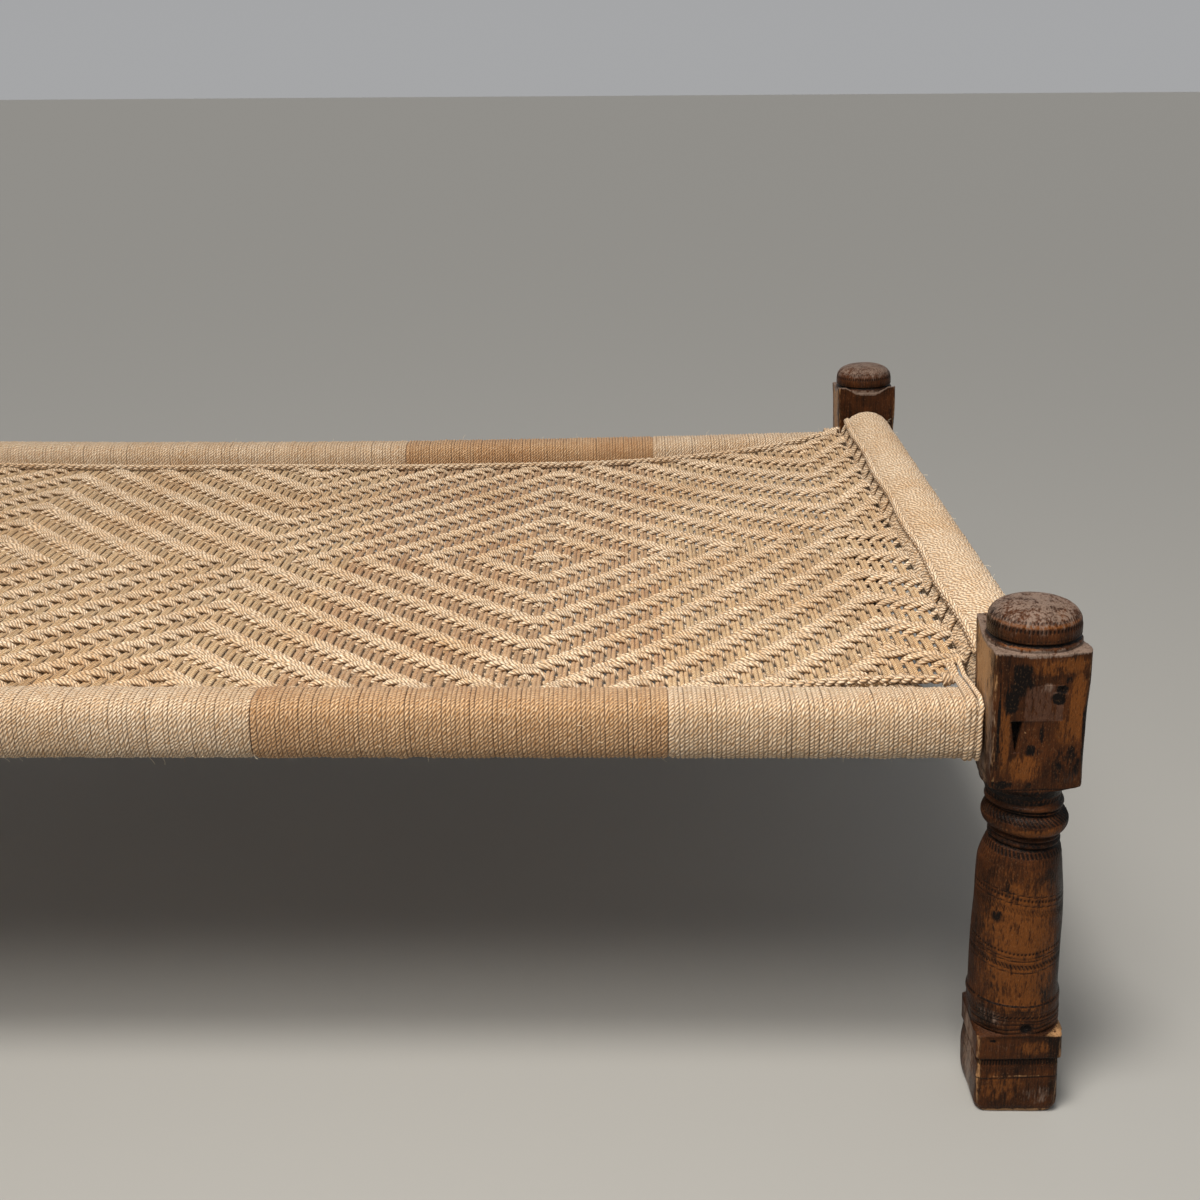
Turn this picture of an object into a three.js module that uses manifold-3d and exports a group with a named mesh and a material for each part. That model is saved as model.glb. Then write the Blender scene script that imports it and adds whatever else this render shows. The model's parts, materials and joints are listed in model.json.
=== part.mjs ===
// A charpai: a low bed of four turned legs, four rails and a woven cord mat.
// Millimetres, +Z up. The origin is on the floor, under the middle of the bed.
// +X runs along the bed to its closed end, +Y runs across it to the back.

import * as THREE from 'three';
import { mergeVertices } from 'three/addons/utils/BufferGeometryUtils.js';
import Module from 'manifold-3d';

const wasm = await Module();
wasm.setup();

// Driving dimensions of the frame
const legSpacingX = 1755;
const legSpacingY = 1000;
const legHeight = 450;
const clearance = 0.3;
const cutOverrun = 20;

const halfX = legSpacingX / 2;
const halfY = legSpacingY / 2;

// Each leg leans outward along the bed, by this much over its whole height
const legSplay = 10.8;

// Turned leg: heights above the floor and radii
const leg = {
  sides: 18,
  blockHalf: 37.6,
  blockTaper: 1.5,
  blockTop: 417,
  blockBottom: 299,
  blockCorner: 6,
  pommelRadius: 60,
  freeHalf: 46,
  shoulderTop: 10,
  shoulderBottom: 14,
  knobRadius: 35.8,
  knobBelly: 429,
  knobGroove: 422.5,
  grooveDepth: 2.4,
  grooveHalf: 1.5,
  domeShares: [0.4, 0.7, 0.9, 1],
  seatRadius: 36,
  coveRadius: 30,
  coveFlare: 1,
  coveTop: 295,
  coveBottom: 284,
  filletRadius: 33.2,
  filletTop: 282.5,
  filletBottom: 277.5,
  ringRadius: 34.8,
  ringMiddle: 266,
  ringHalf: 10,
  ringEdgeHalf: 7.5,
  ringEdgeDrop: 2,
  neckRadius: 27.8,
  neckMiddle: 250.5,
  neckHalf: 4.5,
  neckFlare: 241.5,
  barrelTop: 237,
  barrelEase: 219,
  barrelShoulder: 33.7,
  barrelRadius: 36.6,
  barrelBelly: 150,
  barrelBottom: 112,
  waistRadius: 34.8,
  collarRadius: 36.2,
  collarMiddle: 91,
  collarHalf: 6,
  baseTop: 67,
  baseEdge: 2.5,
  baseShoulder: 11,
  baseHalf: 34.6,
  baseGroove: 44,
  baseGrooveHalf: 2.6,
  baseGrooveDepth: 3.6,
  footHalf: 34,
  footTaper: 2.6,
  footEdge: 4,
};

// Side rails: rounded square poles, bound with cord, one end in each leg
const side = {
  half: 21.5,
  corner: 9,
  inset: 12,
  frontLevel: 341,
  backLevel: 332,
  backBow: 16,
  backSag: 9,
  tenonWide: 24,
  tenonTall: 24,
  tenonDrop: 9,
  steps: 8,
};

// End rails: stout round poles
const end = {
  radius: 29.5,
  level: 359,
  facets: 20,
  tenonWide: 31,
  tenonTall: 29,
  tenonOut: 5,
  tenonRise: 6,
};

const tenon = {
  recess: 1.5,
  root: 12,
};

// Wedge that is driven in under each end rail's tenon
const wedge = {
  headWide: 9,
  tipWide: 3,
  tall: 18,
  depth: 14,
  headInset: 5,
  inward: 9,
};

// Cord binding of the rails, in wraps side by side
const binding = {
  thickness: 4.2,
  ribDepth: 1.1,
  sideRibPitch: 42,
  endRibPitch: 42,
  legGap: 1.5,
  brownNear: 288,
  brownFar: 624,
  endFacets: 12,
  boreEvery: 5,
};

// Woven mat, its diamond figure and its hang
const mat = {
  thickness: 10,
  frontLevel: 346,
  backLevel: 326,
  sag: 9,
  endLevel: 374,
  openLevel: 352,
  endReach: 130,
  openFromLeg: 1417,
  endFromLeg: 39,
  diamondFromLeg: 410,
  ringX: 63.8,
  ringY: 73.8,
  ringsToTurn: 5,
  relief: 2.6,
  undersideRows: 4,
};

// Twisted selvedge cords: two lie on the mat's long edges, one on the bound end rail
const selvedge = {
  radius: 4,
  sides: 8,
  frontInset: 9,
  backInset: 30,
  endStop: 24,
  frontRise: 0.2,
  backRise: 0.9,
  rollTurnShare: 5 / 12,
  rollSlide: 4.5,
  steps: 30,
};

// Edge rope and tension lacing at the open end
const lacing = {
  ropeRadius: 6,
  cordRadius: 3,
  loops: 15,
  sides: 6,
  railArcSteps: 5,
  ropeArcSteps: 3,
  endMargin: 46,
  ropeMargin: 34,
  hitchSegments: 18,
};

const colours = {
  darkWood: 0x4a2c1c,
  railWood: 0x6b4a30,
  wedgeWood: 0x2e1d14,
  paleCord: 0xc9a77c,
  brownCord: 0xa67d4f,
};

const matte = (colour) => new THREE.MeshStandardMaterial({ color: colour, roughness: 0.9, metalness: 0 });
const waxed = (colour) => new THREE.MeshStandardMaterial({ color: colour, roughness: 0.45, metalness: 0 });

// Solids from meshes, and back

function toSolid(geometry) {
  const bare = geometry.clone();
  bare.deleteAttribute('normal');
  bare.deleteAttribute('uv');
  const merged = mergeVertices(bare);
  return new wasm.Manifold(new wasm.Mesh({
    numProp: 3,
    vertProperties: new Float32Array(merged.attributes.position.array),
    triVerts: new Uint32Array(merged.index.array),
  }));
}

function toGeometry(solid) {
  const mesh = solid.getMesh();
  const geometry = new THREE.BufferGeometry();
  geometry.setAttribute('position', new THREE.BufferAttribute(new Float32Array(mesh.vertProperties), 3));
  geometry.setIndex(new THREE.BufferAttribute(new Uint32Array(mesh.triVerts), 1));
  geometry.computeVertexNormals();
  return geometry;
}

function signedVolume(points, faces) {
  let sum = 0;
  for (const [a, b, c] of faces) {
    sum += points[a].dot(points[b].clone().cross(points[c]));
  }
  return sum;
}

// A closed mesh from points and triangles, turned so that its faces point out
function fromFaces(points, faces) {
  const outward = signedVolume(points, faces) > 0;
  const order = outward ? faces : faces.map(([a, b, c]) => [a, c, b]);
  const geometry = new THREE.BufferGeometry();
  geometry.setFromPoints(points);
  geometry.setIndex(order.flat());
  geometry.computeVertexNormals();
  return geometry;
}

// Joins rings of points: end to end with caps, or round again into the first ring
function skin(rings, loop = false) {
  const count = rings[0].length;
  const points = rings.flat();
  const faces = [];
  const last = loop ? rings.length : rings.length - 1;
  for (let row = 0; row < last; row += 1) {
    const here = row * count;
    const next = ((row + 1) % rings.length) * count;
    for (let k = 0; k < count; k += 1) {
      const turn = (k + 1) % count;
      faces.push([here + k, here + turn, next + turn], [here + k, next + turn, next + k]);
    }
  }
  if (!loop) {
    const top = (rings.length - 1) * count;
    for (let k = 1; k < count - 1; k += 1) {
      faces.push([0, k + 1, k], [top, top + k, top + k + 1]);
    }
  }
  return fromFaces(points, faces);
}

// Sections

// A square of half width `half` with each corner cut off by `corner`, or rounded in steps
function squareSection(half, corner, cornerSteps = 1) {
  const points = [];
  const centre = half - corner;
  for (let quarter = 0; quarter < 4; quarter += 1) {
    const start = (quarter * Math.PI) / 2;
    const middle = start + Math.PI / 4;
    const cx = Math.sign(Math.cos(middle)) * centre;
    const cy = Math.sign(Math.sin(middle)) * centre;
    for (let step = 0; step <= cornerSteps; step += 1) {
      const angle = start + ((Math.PI / 2) * step) / cornerSteps;
      points.push([cx + corner * Math.cos(angle), cy + corner * Math.sin(angle)]);
    }
  }
  return points;
}

function roundSection(radius, count) {
  const points = [];
  for (let k = 0; k < count; k += 1) {
    const angle = (2 * Math.PI * (k + 1 / 2)) / count;
    points.push([radius * Math.cos(angle), radius * Math.sin(angle)]);
  }
  return points;
}

const boxAt = (sizeX, sizeY, sizeZ, x, y, z) => {
  const geometry = new THREE.BoxGeometry(sizeX, sizeY, sizeZ);
  geometry.translate(x, y, z);
  return toSolid(geometry);
};

// Rails: where they run

const legInner = halfX - leg.blockHalf;
const legInnerY = halfY - leg.blockHalf;
const reachX = legInner - binding.legGap;
const reachY = legInnerY - binding.legGap;

const sideLevel = (back) => (back ? side.backLevel : side.frontLevel);
const sideRun = (x, back) => {
  const bend = back ? 1 - (x / reachX) ** 2 : 0;
  const y = halfY - side.inset - side.backBow * bend;
  return { y: back ? y : -y, z: sideLevel(back) - side.backSag * bend };
};

// Turned leg

// The square stock: full at the block and the foot, wide of the turning between them
function legStock() {
  const levels = [
    [-cutOverrun, leg.footHalf - leg.footTaper],
    [0, leg.footHalf - leg.footTaper],
    [leg.footEdge, leg.footHalf - leg.footTaper / 2],
    [leg.baseGroove / 2, leg.footHalf],
    [leg.baseGroove - leg.baseGrooveHalf, leg.footHalf - leg.footTaper / 2],
    [leg.baseGroove, leg.baseHalf - leg.baseGrooveDepth],
    [leg.baseGroove + leg.baseGrooveHalf, leg.baseHalf],
    [leg.baseTop, leg.baseHalf],
    [leg.baseTop + leg.baseShoulder, leg.freeHalf],
    [leg.blockBottom - leg.baseShoulder, leg.freeHalf],
    [leg.blockBottom, leg.blockHalf - leg.blockTaper],
    [leg.blockTop, leg.blockHalf],
    [legHeight + cutOverrun, leg.blockHalf],
  ];
  const rings = levels.map(([z, half]) => squareSection(half, leg.blockCorner, 2)
    .map(([x, y]) => new THREE.Vector3(x, y, z)));
  return toSolid(skin(rings));
}

// The turning: the lathe's profile, from below the foot to the top of the knob
function legTurning() {
  const profile = [
    [0, -cutOverrun],
    [leg.pommelRadius, -cutOverrun],
    [leg.pommelRadius, leg.baseTop - leg.baseEdge],
    [leg.baseHalf, leg.baseTop + leg.baseEdge],
    [leg.baseHalf, leg.collarMiddle - leg.collarHalf],
    [leg.collarRadius, leg.collarMiddle - leg.collarHalf / 2],
    [leg.collarRadius, leg.collarMiddle + leg.collarHalf / 2],
    [leg.waistRadius, leg.collarMiddle + leg.collarHalf],
    [leg.barrelRadius, leg.barrelBottom],
    [leg.barrelRadius, leg.barrelBelly],
    [(leg.barrelRadius + leg.barrelShoulder) / 2, leg.barrelEase],
    [leg.barrelShoulder, leg.barrelTop],
    [(leg.neckRadius + leg.barrelShoulder) / 2, leg.neckFlare],
    [leg.neckRadius, leg.neckMiddle - leg.neckHalf],
    [leg.neckRadius, leg.neckMiddle + leg.neckHalf],
    [leg.ringRadius - leg.ringEdgeDrop, leg.ringMiddle - leg.ringEdgeHalf],
    [leg.ringRadius, leg.ringMiddle],
    [leg.ringRadius - leg.ringEdgeDrop, leg.ringMiddle + leg.ringEdgeHalf],
    [leg.coveRadius, leg.ringMiddle + leg.ringHalf],
    [leg.filletRadius, leg.filletBottom],
    [leg.filletRadius, leg.filletTop],
    [leg.coveRadius, leg.coveBottom],
    [leg.coveRadius + leg.coveFlare, leg.coveTop],
    [leg.seatRadius, leg.blockBottom],
    [leg.pommelRadius, leg.blockBottom + leg.shoulderBottom],
    [leg.pommelRadius, leg.blockTop - leg.shoulderTop],
    [leg.seatRadius, leg.blockTop],
    [leg.seatRadius, leg.knobGroove - leg.grooveHalf],
    [leg.knobRadius - leg.grooveDepth, leg.knobGroove],
    [leg.knobRadius, leg.knobBelly],
  ];
  const dome = legHeight - leg.knobBelly;
  for (const share of leg.domeShares) {
    profile.push([leg.knobRadius * Math.sqrt(1 - share * share), leg.knobBelly + dome * share]);
  }
  const points = profile.map(([radius, z]) => new THREE.Vector2(radius, z));
  const turned = new THREE.LatheGeometry(points, leg.sides);
  turned.rotateX(Math.PI / 2);
  return toSolid(turned);
}

const blankLeg = legStock().intersect(legTurning());

// The leg's axis stands upright over this level, where the rails meet it
const pivotLevel = end.level;
const leanAngle = Math.atan2(legSplay, legHeight);

function makeLeg(signX, back) {
  const signY = back ? 1 : -1;
  const geometry = toGeometry(blankLeg);
  geometry.translate(0, 0, -pivotLevel);
  geometry.rotateY(-signX * leanAngle);
  geometry.translate(signX * halfX, signY * halfY, pivotLevel);
  const floorBox = boxAt(legSpacingX, legSpacingY, cutOverrun * 2, signX * halfX, signY * halfY, -cutOverrun);
  return toGeometry(toSolid(geometry)
    .subtract(floorBox)
    .subtract(sideTenon(signX, back, clearance))
    .subtract(endTenon(signX, signY, clearance))
    .subtract(wedgeSolid(signX, signY, clearance)));
}

// A tenon's length through the block and its root in the rail, and the middle of that length
// from the leg's axis. Grown, it is the cutter of its own mortise and overruns both faces.
function tenonRun(grow) {
  const outer = leg.blockHalf - tenon.recess + (grow ? cutOverrun : 0);
  const inner = leg.blockHalf + tenon.root;
  return { long: outer + inner, middle: (outer - inner) / 2 };
}

// Tenons run through the block, the side rail's under the end rail's
function sideTenon(signX, back, grow) {
  const signY = back ? 1 : -1;
  const run = tenonRun(grow);
  return boxAt(
    run.long,
    side.tenonWide + 2 * grow,
    side.tenonTall + 2 * grow,
    signX * (halfX + run.middle),
    signY * (halfY - side.inset),
    sideLevel(back) - side.tenonDrop,
  );
}

function endTenon(signX, signY, grow) {
  const run = tenonRun(grow);
  return boxAt(
    end.tenonWide + 2 * grow,
    run.long,
    end.tenonTall + 2 * grow,
    signX * (halfX + end.tenonOut),
    signY * (halfY + run.middle),
    end.level + end.tenonRise,
  );
}

// A wedge, head outward, that tapers down: grown, it cuts its own slot
function wedgeSolid(signX, signY, grow) {
  const top = end.level + end.tenonRise - end.tenonTall / 2 - 2 * clearance + grow;
  const bottom = top - wedge.tall - 2 * grow;
  const outline = new THREE.Shape();
  outline.moveTo(-wedge.headWide / 2 - grow, top);
  outline.lineTo(wedge.headWide / 2 + grow, top);
  outline.lineTo(wedge.tipWide / 2 + grow, bottom);
  outline.lineTo(-wedge.tipWide / 2 - grow, bottom);
  outline.closePath();
  const outer = grow ? leg.blockHalf + cutOverrun : leg.blockHalf - wedge.headInset;
  const inner = leg.blockHalf - wedge.headInset - wedge.depth - grow;
  const geometry = new THREE.ExtrudeGeometry(outline, { depth: outer - inner, bevelEnabled: false });
  geometry.rotateX(Math.PI / 2);
  const centred = signY > 0 ? outer : -inner;
  geometry.translate(signX * (halfX - wedge.inward), signY * halfY + centred, 0);
  return toSolid(geometry);
}

// Rails

function makeSideRail(back) {
  const rings = [];
  for (let step = 0; step <= side.steps; step += 1) {
    const x = -reachX + (2 * reachX * step) / side.steps;
    const run = sideRun(x, back);
    rings.push(squareSection(side.half, side.corner).map(([y, z]) => new THREE.Vector3(x, run.y + y, run.z + z)));
  }
  return toGeometry(toSolid(skin(rings))
    .add(sideTenon(1, back, 0))
    .add(sideTenon(-1, back, 0)));
}

function makeEndRail(signX) {
  const pole = new THREE.CylinderGeometry(end.radius, end.radius, reachY * 2, end.facets);
  pole.translate(signX * halfX, 0, end.level);
  return toGeometry(toSolid(pole)
    .add(endTenon(signX, 1, 0))
    .add(endTenon(signX, -1, 0)));
}

// Bindings: sleeves of cord with a bore for the rail, ribbed by their wraps

// Places along a stretch with the wraps' height at each: a crest and a groove for every rib
function ribPlaces(from, to, pitch) {
  const count = Math.max(1, Math.round((to - from) / pitch));
  const places = [{ at: from, crest: false }];
  for (let rib = 0; rib < count; rib += 1) {
    places.push({ at: from + ((to - from) * (rib + 1 / 2)) / count, crest: true });
    places.push({ at: from + ((to - from) * (rib + 1)) / count, crest: false });
  }
  return places;
}

function sleeve(places, outerSection, boreSection, place) {
  const outer = places.map(({ at, crest }) => outerSection(crest).map((point) => place(at, point)));
  const everyBore = 2 * binding.boreEvery;
  const boreAt = places.filter((_, k) => k % everyBore === 0 || k === places.length - 1);
  const bore = boreAt.reverse().map(({ at }) => boreSection.map((point) => place(at, point)));
  return skin([...outer, ...bore], true);
}

// A cut square grown by `grow` on every face, its cut corners too
const grownSquare = (grow) => squareSection(side.half + grow, side.corner + grow * (2 - Math.SQRT2));

function makeSideBinding(from, to, back) {
  const place = (x, [y, z]) => {
    const run = sideRun(x, back);
    return new THREE.Vector3(x, run.y + y, run.z + z);
  };
  const outerSection = (crest) => grownSquare(binding.thickness + clearance - (crest ? 0 : binding.ribDepth));
  return sleeve(ribPlaces(from, to, binding.sideRibPitch), outerSection, grownSquare(2 * clearance), place);
}

function makeEndBinding(signX) {
  const place = (y, [x, z]) => new THREE.Vector3(signX * halfX + x, y, end.level + z);
  const crestRadius = end.radius + clearance + binding.thickness;
  const outerSection = (crest) => roundSection(crestRadius - (crest ? 0 : binding.ribDepth), binding.endFacets);
  const boreRadius = (end.radius + clearance) / Math.cos(Math.PI / binding.endFacets);
  const bore = roundSection(boreRadius, binding.endFacets);
  return sleeve(ribPlaces(-reachY, reachY, binding.endRibPitch), outerSection, bore, place);
}

// Mat

const sleeveOutset = side.half + clearance + binding.thickness;
const matEnd = halfX - mat.endFromLeg;
const matOpen = halfX - mat.openFromLeg;
const matFront = () => sideRun(0, false).y + sleeveOutset + clearance;
const matBack = (x) => sideRun(x, true).y - sleeveOutset - clearance;
const diamondX = halfX - mat.diamondFromLeg;
const diamondY = 0;

// Height of the mat's upper side, without its relief
function matLevel(x, y) {
  const across = (y - matFront()) / (matBack(x) - matFront());
  const chord = mat.frontLevel + (mat.backLevel - mat.frontLevel) * across;
  const hang = mat.sag * (1 - (2 * across - 1) ** 2);
  const nearEnd = Math.exp((x - matEnd) / mat.endReach);
  const nearOpen = Math.exp((matOpen - x) / mat.endReach);
  const middle = chord - hang * (1 - nearEnd) * (1 - nearOpen);
  return middle + (mat.endLevel - middle) * nearEnd + (mat.openLevel - middle) * nearOpen;
}

// Lines of the figure: every half ring, counted from the diamond's centre
function figureLines(from, to, centre, half) {
  const lines = [{ at: from, count: 0, border: true }];
  for (let k = Math.ceil((from - centre) / half); centre + k * half < to; k += 1) {
    const at = centre + k * half;
    if (at - from > half / 3 && to - at > half / 3) {
      lines.push({ at, count: k, border: false });
    }
  }
  lines.push({ at: to, count: 0, border: true });
  lines[1].border = true;
  lines[lines.length - 2].border = true;
  return lines;
}

function makeMat() {
  const columns = figureLines(matOpen, matEnd, diamondX, mat.ringX / 2);
  const backLine = matBack(0);
  const rows = figureLines(matFront(), backLine, diamondY, mat.ringY / 2);
  const turn = mat.ringsToTurn * 2;
  const fold = (k) => {
    const wrapped = (((k + turn) % (2 * turn)) + 2 * turn) % (2 * turn);
    return Math.abs(wrapped - turn);
  };
  const points = [];
  const yAt = (column, row) => {
    const share = (row.at - matFront()) / (backLine - matFront());
    return matFront() + share * (matBack(column.at) - matFront());
  };
  for (const row of rows) {
    for (const column of columns) {
      const y = yAt(column, row);
      const odd = (fold(column.count) + Math.abs(row.count)) % 2 === 1;
      const raised = odd && !row.border && !column.border;
      points.push(new THREE.Vector3(column.at, y, matLevel(column.at, y) - (raised ? 0 : mat.relief)));
    }
  }
  const faces = [];
  const wide = columns.length;
  for (let r = 0; r < rows.length - 1; r += 1) {
    for (let c = 0; c < wide - 1; c += 1) {
      const corner = r * wide + c;
      const risingX = fold(columns[c + 1].count) > fold(columns[c].count);
      const risingY = Math.abs(rows[r + 1].count) > Math.abs(rows[r].count);
      const [a, b, d, e] = [corner, corner + 1, corner + wide, corner + wide + 1];
      if (risingX === risingY) {
        faces.push([a, b, d], [b, e, d]);
      } else {
        faces.push([a, b, e], [a, e, d]);
      }
    }
  }
  // The underside hangs with the mat, on fewer rows
  const underStart = points.length;
  for (let r = 0; r <= mat.undersideRows; r += 1) {
    const row = { at: matFront() + ((backLine - matFront()) * r) / mat.undersideRows };
    for (const column of columns) {
      const y = yAt(column, row);
      points.push(new THREE.Vector3(column.at, y, matLevel(column.at, y) - mat.relief - mat.thickness));
    }
  }
  for (let r = 0; r < mat.undersideRows; r += 1) {
    for (let c = 0; c < wide - 1; c += 1) {
      const corner = underStart + r * wide + c;
      faces.push([corner, corner + wide, corner + 1], [corner + 1, corner + wide, corner + wide + 1]);
    }
  }
  // The edges: front and back column by column, the two ends by advancing the nearer line
  const topBack = (rows.length - 1) * wide;
  const underBack = underStart + mat.undersideRows * wide;
  for (let c = 0; c < wide - 1; c += 1) {
    faces.push([c, underStart + c, underStart + c + 1], [c, underStart + c + 1, c + 1]);
    faces.push([topBack + c, topBack + c + 1, underBack + c + 1], [topBack + c, underBack + c + 1, underBack + c]);
  }
  for (const c of [0, wide - 1]) {
    let upper = 0;
    let under = 0;
    while (upper < rows.length - 1 || under < mat.undersideRows) {
      const topIndex = upper * wide + c;
      const underIndex = underStart + under * wide + c;
      const nextTop = upper < rows.length - 1 ? points[topIndex + wide].y : Infinity;
      const nextUnder = under < mat.undersideRows ? points[underIndex + wide].y : Infinity;
      const face = nextTop <= nextUnder
        ? [topIndex, underIndex, topIndex + wide]
        : [topIndex, underIndex, underIndex + wide];
      faces.push(c === 0 ? [face[0], face[2], face[1]] : face);
      if (nextTop <= nextUnder) {
        upper += 1;
      } else {
        under += 1;
      }
    }
  }
  return fromFaces(points, faces);
}

// Selvedge cords

function cordAlong(points, radius, sides, steps) {
  const shape = new THREE.Shape(roundSection(radius, sides).map(([x, y]) => new THREE.Vector2(x, y)));
  const path = new THREE.CatmullRomCurve3(points);
  return new THREE.ExtrudeGeometry(shape, { steps, extrudePath: path, bevelEnabled: false });
}

// The cord's underside clears the mat's flat facets, which span its curve
const selvedgeSeat = selvedge.radius * Math.cos(Math.PI / selvedge.sides) + clearance;
const onMat = (x, y, rise) => new THREE.Vector3(x, y, matLevel(x, y) - mat.relief + selvedgeSeat + rise);

function makeSideSelvedge(back) {
  const from = matOpen + selvedge.radius;
  const to = matEnd - selvedge.endStop;
  const points = [];
  for (let step = 0; step <= selvedge.steps; step += 1) {
    const x = from + ((to - from) * step) / selvedge.steps;
    const y = back ? matBack(x) - selvedge.backInset : matFront() + selvedge.frontInset;
    points.push(onMat(x, y, back ? selvedge.backRise : selvedge.frontRise));
  }
  return cordAlong(points, selvedge.radius, selvedge.sides, selvedge.steps);
}

// The end selvedge lies on one flat of the bound end rail, above the mat's end
function makeEndSelvedge() {
  const facing = 2 * Math.PI * selvedge.rollTurnShare;
  const flatAway = (end.radius + clearance + binding.thickness) * Math.cos(Math.PI / binding.endFacets);
  const away = flatAway + clearance + selvedge.radius;
  const x = halfX + away * Math.cos(facing) + selvedge.rollSlide * Math.sin(facing);
  const z = end.level + away * Math.sin(facing) - selvedge.rollSlide * Math.cos(facing);
  const ends = [matFront() + selvedge.radius, matBack(matEnd) - selvedge.radius];
  return cordAlong(ends.map((y) => new THREE.Vector3(x, y, z)), selvedge.radius, selvedge.sides, 1);
}

// Open end: the rope that the mat ends on, and the lacing that pulls it to the rail

const ropeOrbit = (lacing.ropeRadius + lacing.cordRadius) / Math.cos(Math.PI / lacing.sides) + clearance;
const ropeX = matOpen - ropeOrbit - lacing.cordRadius - clearance;
const ropeZ = matLevel(matOpen, 0) - mat.relief - mat.thickness / 2;
const railX = -halfX;

function makeEdgeRope() {
  const reach = legInnerY - lacing.ropeMargin;
  const points = [new THREE.Vector3(ropeX, -reach, ropeZ), new THREE.Vector3(ropeX, reach, ropeZ)];
  return cordAlong(points, lacing.ropeRadius, selvedge.sides, 1);
}

// The lacing's centre line: over the rope and the rail, round the rail, back under both
function lacingPoints() {
  const railOrbit = (end.radius + lacing.cordRadius) / Math.cos(Math.PI / (2 * lacing.railArcSteps)) + clearance;
  const run = 2 * (legInnerY - lacing.endMargin);
  const stops = [];
  for (let k = 0; k <= lacing.railArcSteps; k += 1) {
    const angle = Math.PI / 2 + (Math.PI * k) / lacing.railArcSteps;
    stops.push([railX + railOrbit * Math.cos(angle), end.level + railOrbit * Math.sin(angle)]);
  }
  for (let k = 0; k <= lacing.ropeArcSteps; k += 1) {
    const angle = -Math.PI / 2 + (Math.PI * k) / lacing.ropeArcSteps;
    stops.push([ropeX + ropeOrbit * Math.cos(angle), ropeZ + ropeOrbit * Math.sin(angle)]);
  }
  const points = [];
  const total = lacing.loops * stops.length;
  for (let k = 0; k <= total; k += 1) {
    const [x, z] = stops[k % stops.length];
    points.push(new THREE.Vector3(x, -run / 2 + (run * k) / total, z));
  }
  return points;
}

// One unbroken tube on a list of points, its rings carried along without twist
function makeLacing(points) {
  const rings = [];
  const across = new THREE.Vector3(0, 1, 0);
  for (let k = 0; k < points.length; k += 1) {
    const before = points[Math.max(0, k - 1)];
    const after = points[Math.min(points.length - 1, k + 1)];
    const along = after.clone().sub(before).normalize();
    const first = across.clone().addScaledVector(along, -across.dot(along)).normalize();
    const second = along.clone().cross(first);
    rings.push(roundSection(lacing.cordRadius, lacing.sides).map(([u, v]) => points[k].clone()
      .addScaledVector(first, u)
      .addScaledVector(second, v)));
  }
  return skin(rings);
}

// The least gap between two turns of the lacing, measured on its points
function lacingGap(points) {
  const perTurn = lacing.railArcSteps + lacing.ropeArcSteps + 2;
  let least = Infinity;
  for (let a = 0; a < points.length; a += 1) {
    for (let b = a + perTurn - 1; b < points.length; b += 1) {
      least = Math.min(least, points[a].distanceTo(points[b]));
    }
  }
  return least - 2 * lacing.cordRadius;
}

function makeHitch(signY) {
  const ring = new THREE.TorusGeometry(
    (end.radius + clearance) / Math.cos(Math.PI / lacing.hitchSegments) + lacing.cordRadius,
    lacing.cordRadius,
    lacing.sides,
    lacing.hitchSegments,
  );
  ring.rotateX(Math.PI / 2);
  ring.translate(railX, signY * (legInnerY - lacing.endMargin / 2), end.level);
  return ring;
}

// The whole bed

const bed = new THREE.Group();

function addPiece(name, geometry, material) {
  const mesh = new THREE.Mesh(geometry, material);
  mesh.name = name;
  bed.add(mesh);
}

const corners = [
  ['front_right', 1, false],
  ['front_left', -1, false],
  ['back_right', 1, true],
  ['back_left', -1, true],
];
for (const [name, signX, back] of corners) {
  addPiece(`leg_${name}`, makeLeg(signX, back), waxed(colours.darkWood));
  addPiece(`wedge_${name}`, toGeometry(wedgeSolid(signX, back ? 1 : -1, 0)), matte(colours.wedgeWood));
}

const brownTo = halfX - binding.brownNear;
const brownFrom = halfX - binding.brownFar;
const stretches = [
  ['left', -reachX, brownFrom - clearance, colours.paleCord],
  ['brown', brownFrom, brownTo, colours.brownCord],
  ['right', brownTo + clearance, reachX, colours.paleCord],
];
for (const [name, back] of [['front', false], ['back', true]]) {
  addPiece(`side_rail_${name}`, makeSideRail(back), matte(colours.railWood));
  for (const [stretch, from, to, colour] of stretches) {
    addPiece(`binding_${name}_${stretch}`, makeSideBinding(from, to, back), matte(colour));
  }
  addPiece(`selvedge_${name}`, makeSideSelvedge(back), matte(colours.paleCord));
}

addPiece('end_rail_right', makeEndRail(1), matte(colours.railWood));
addPiece('end_rail_left', makeEndRail(-1), matte(colours.railWood));
addPiece('binding_end_right', makeEndBinding(1), matte(colours.paleCord));
addPiece('selvedge_end_right', makeEndSelvedge(), matte(colours.paleCord));
addPiece('woven_mat', makeMat(), matte(colours.paleCord));
addPiece('edge_rope', makeEdgeRope(), matte(colours.paleCord));

const lacingLine = lacingPoints();
console.log(`least gap between turns of the lacing: ${lacingGap(lacingLine).toFixed(2)} mm`);
addPiece('lacing', makeLacing(lacingLine), matte(colours.paleCord));
addPiece('lacing_hitch_front', makeHitch(-1), matte(colours.paleCord));
addPiece('lacing_hitch_back', makeHitch(1), matte(colours.paleCord));

export default bed;
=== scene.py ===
"""Dresses the charpai: jute cord, woven, bound and laced on a frame of old turned wood.

Everything is in metres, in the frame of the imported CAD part: the origin on the floor under the
middle of the bed, +X along the bed to its closed end, +Y across it to the back and +Z up.
"""

import json
import logging
import math
from collections.abc import Callable, Sequence
from dataclasses import dataclass, field, replace
from enum import Enum
from fnmatch import fnmatch
from functools import partial

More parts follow.
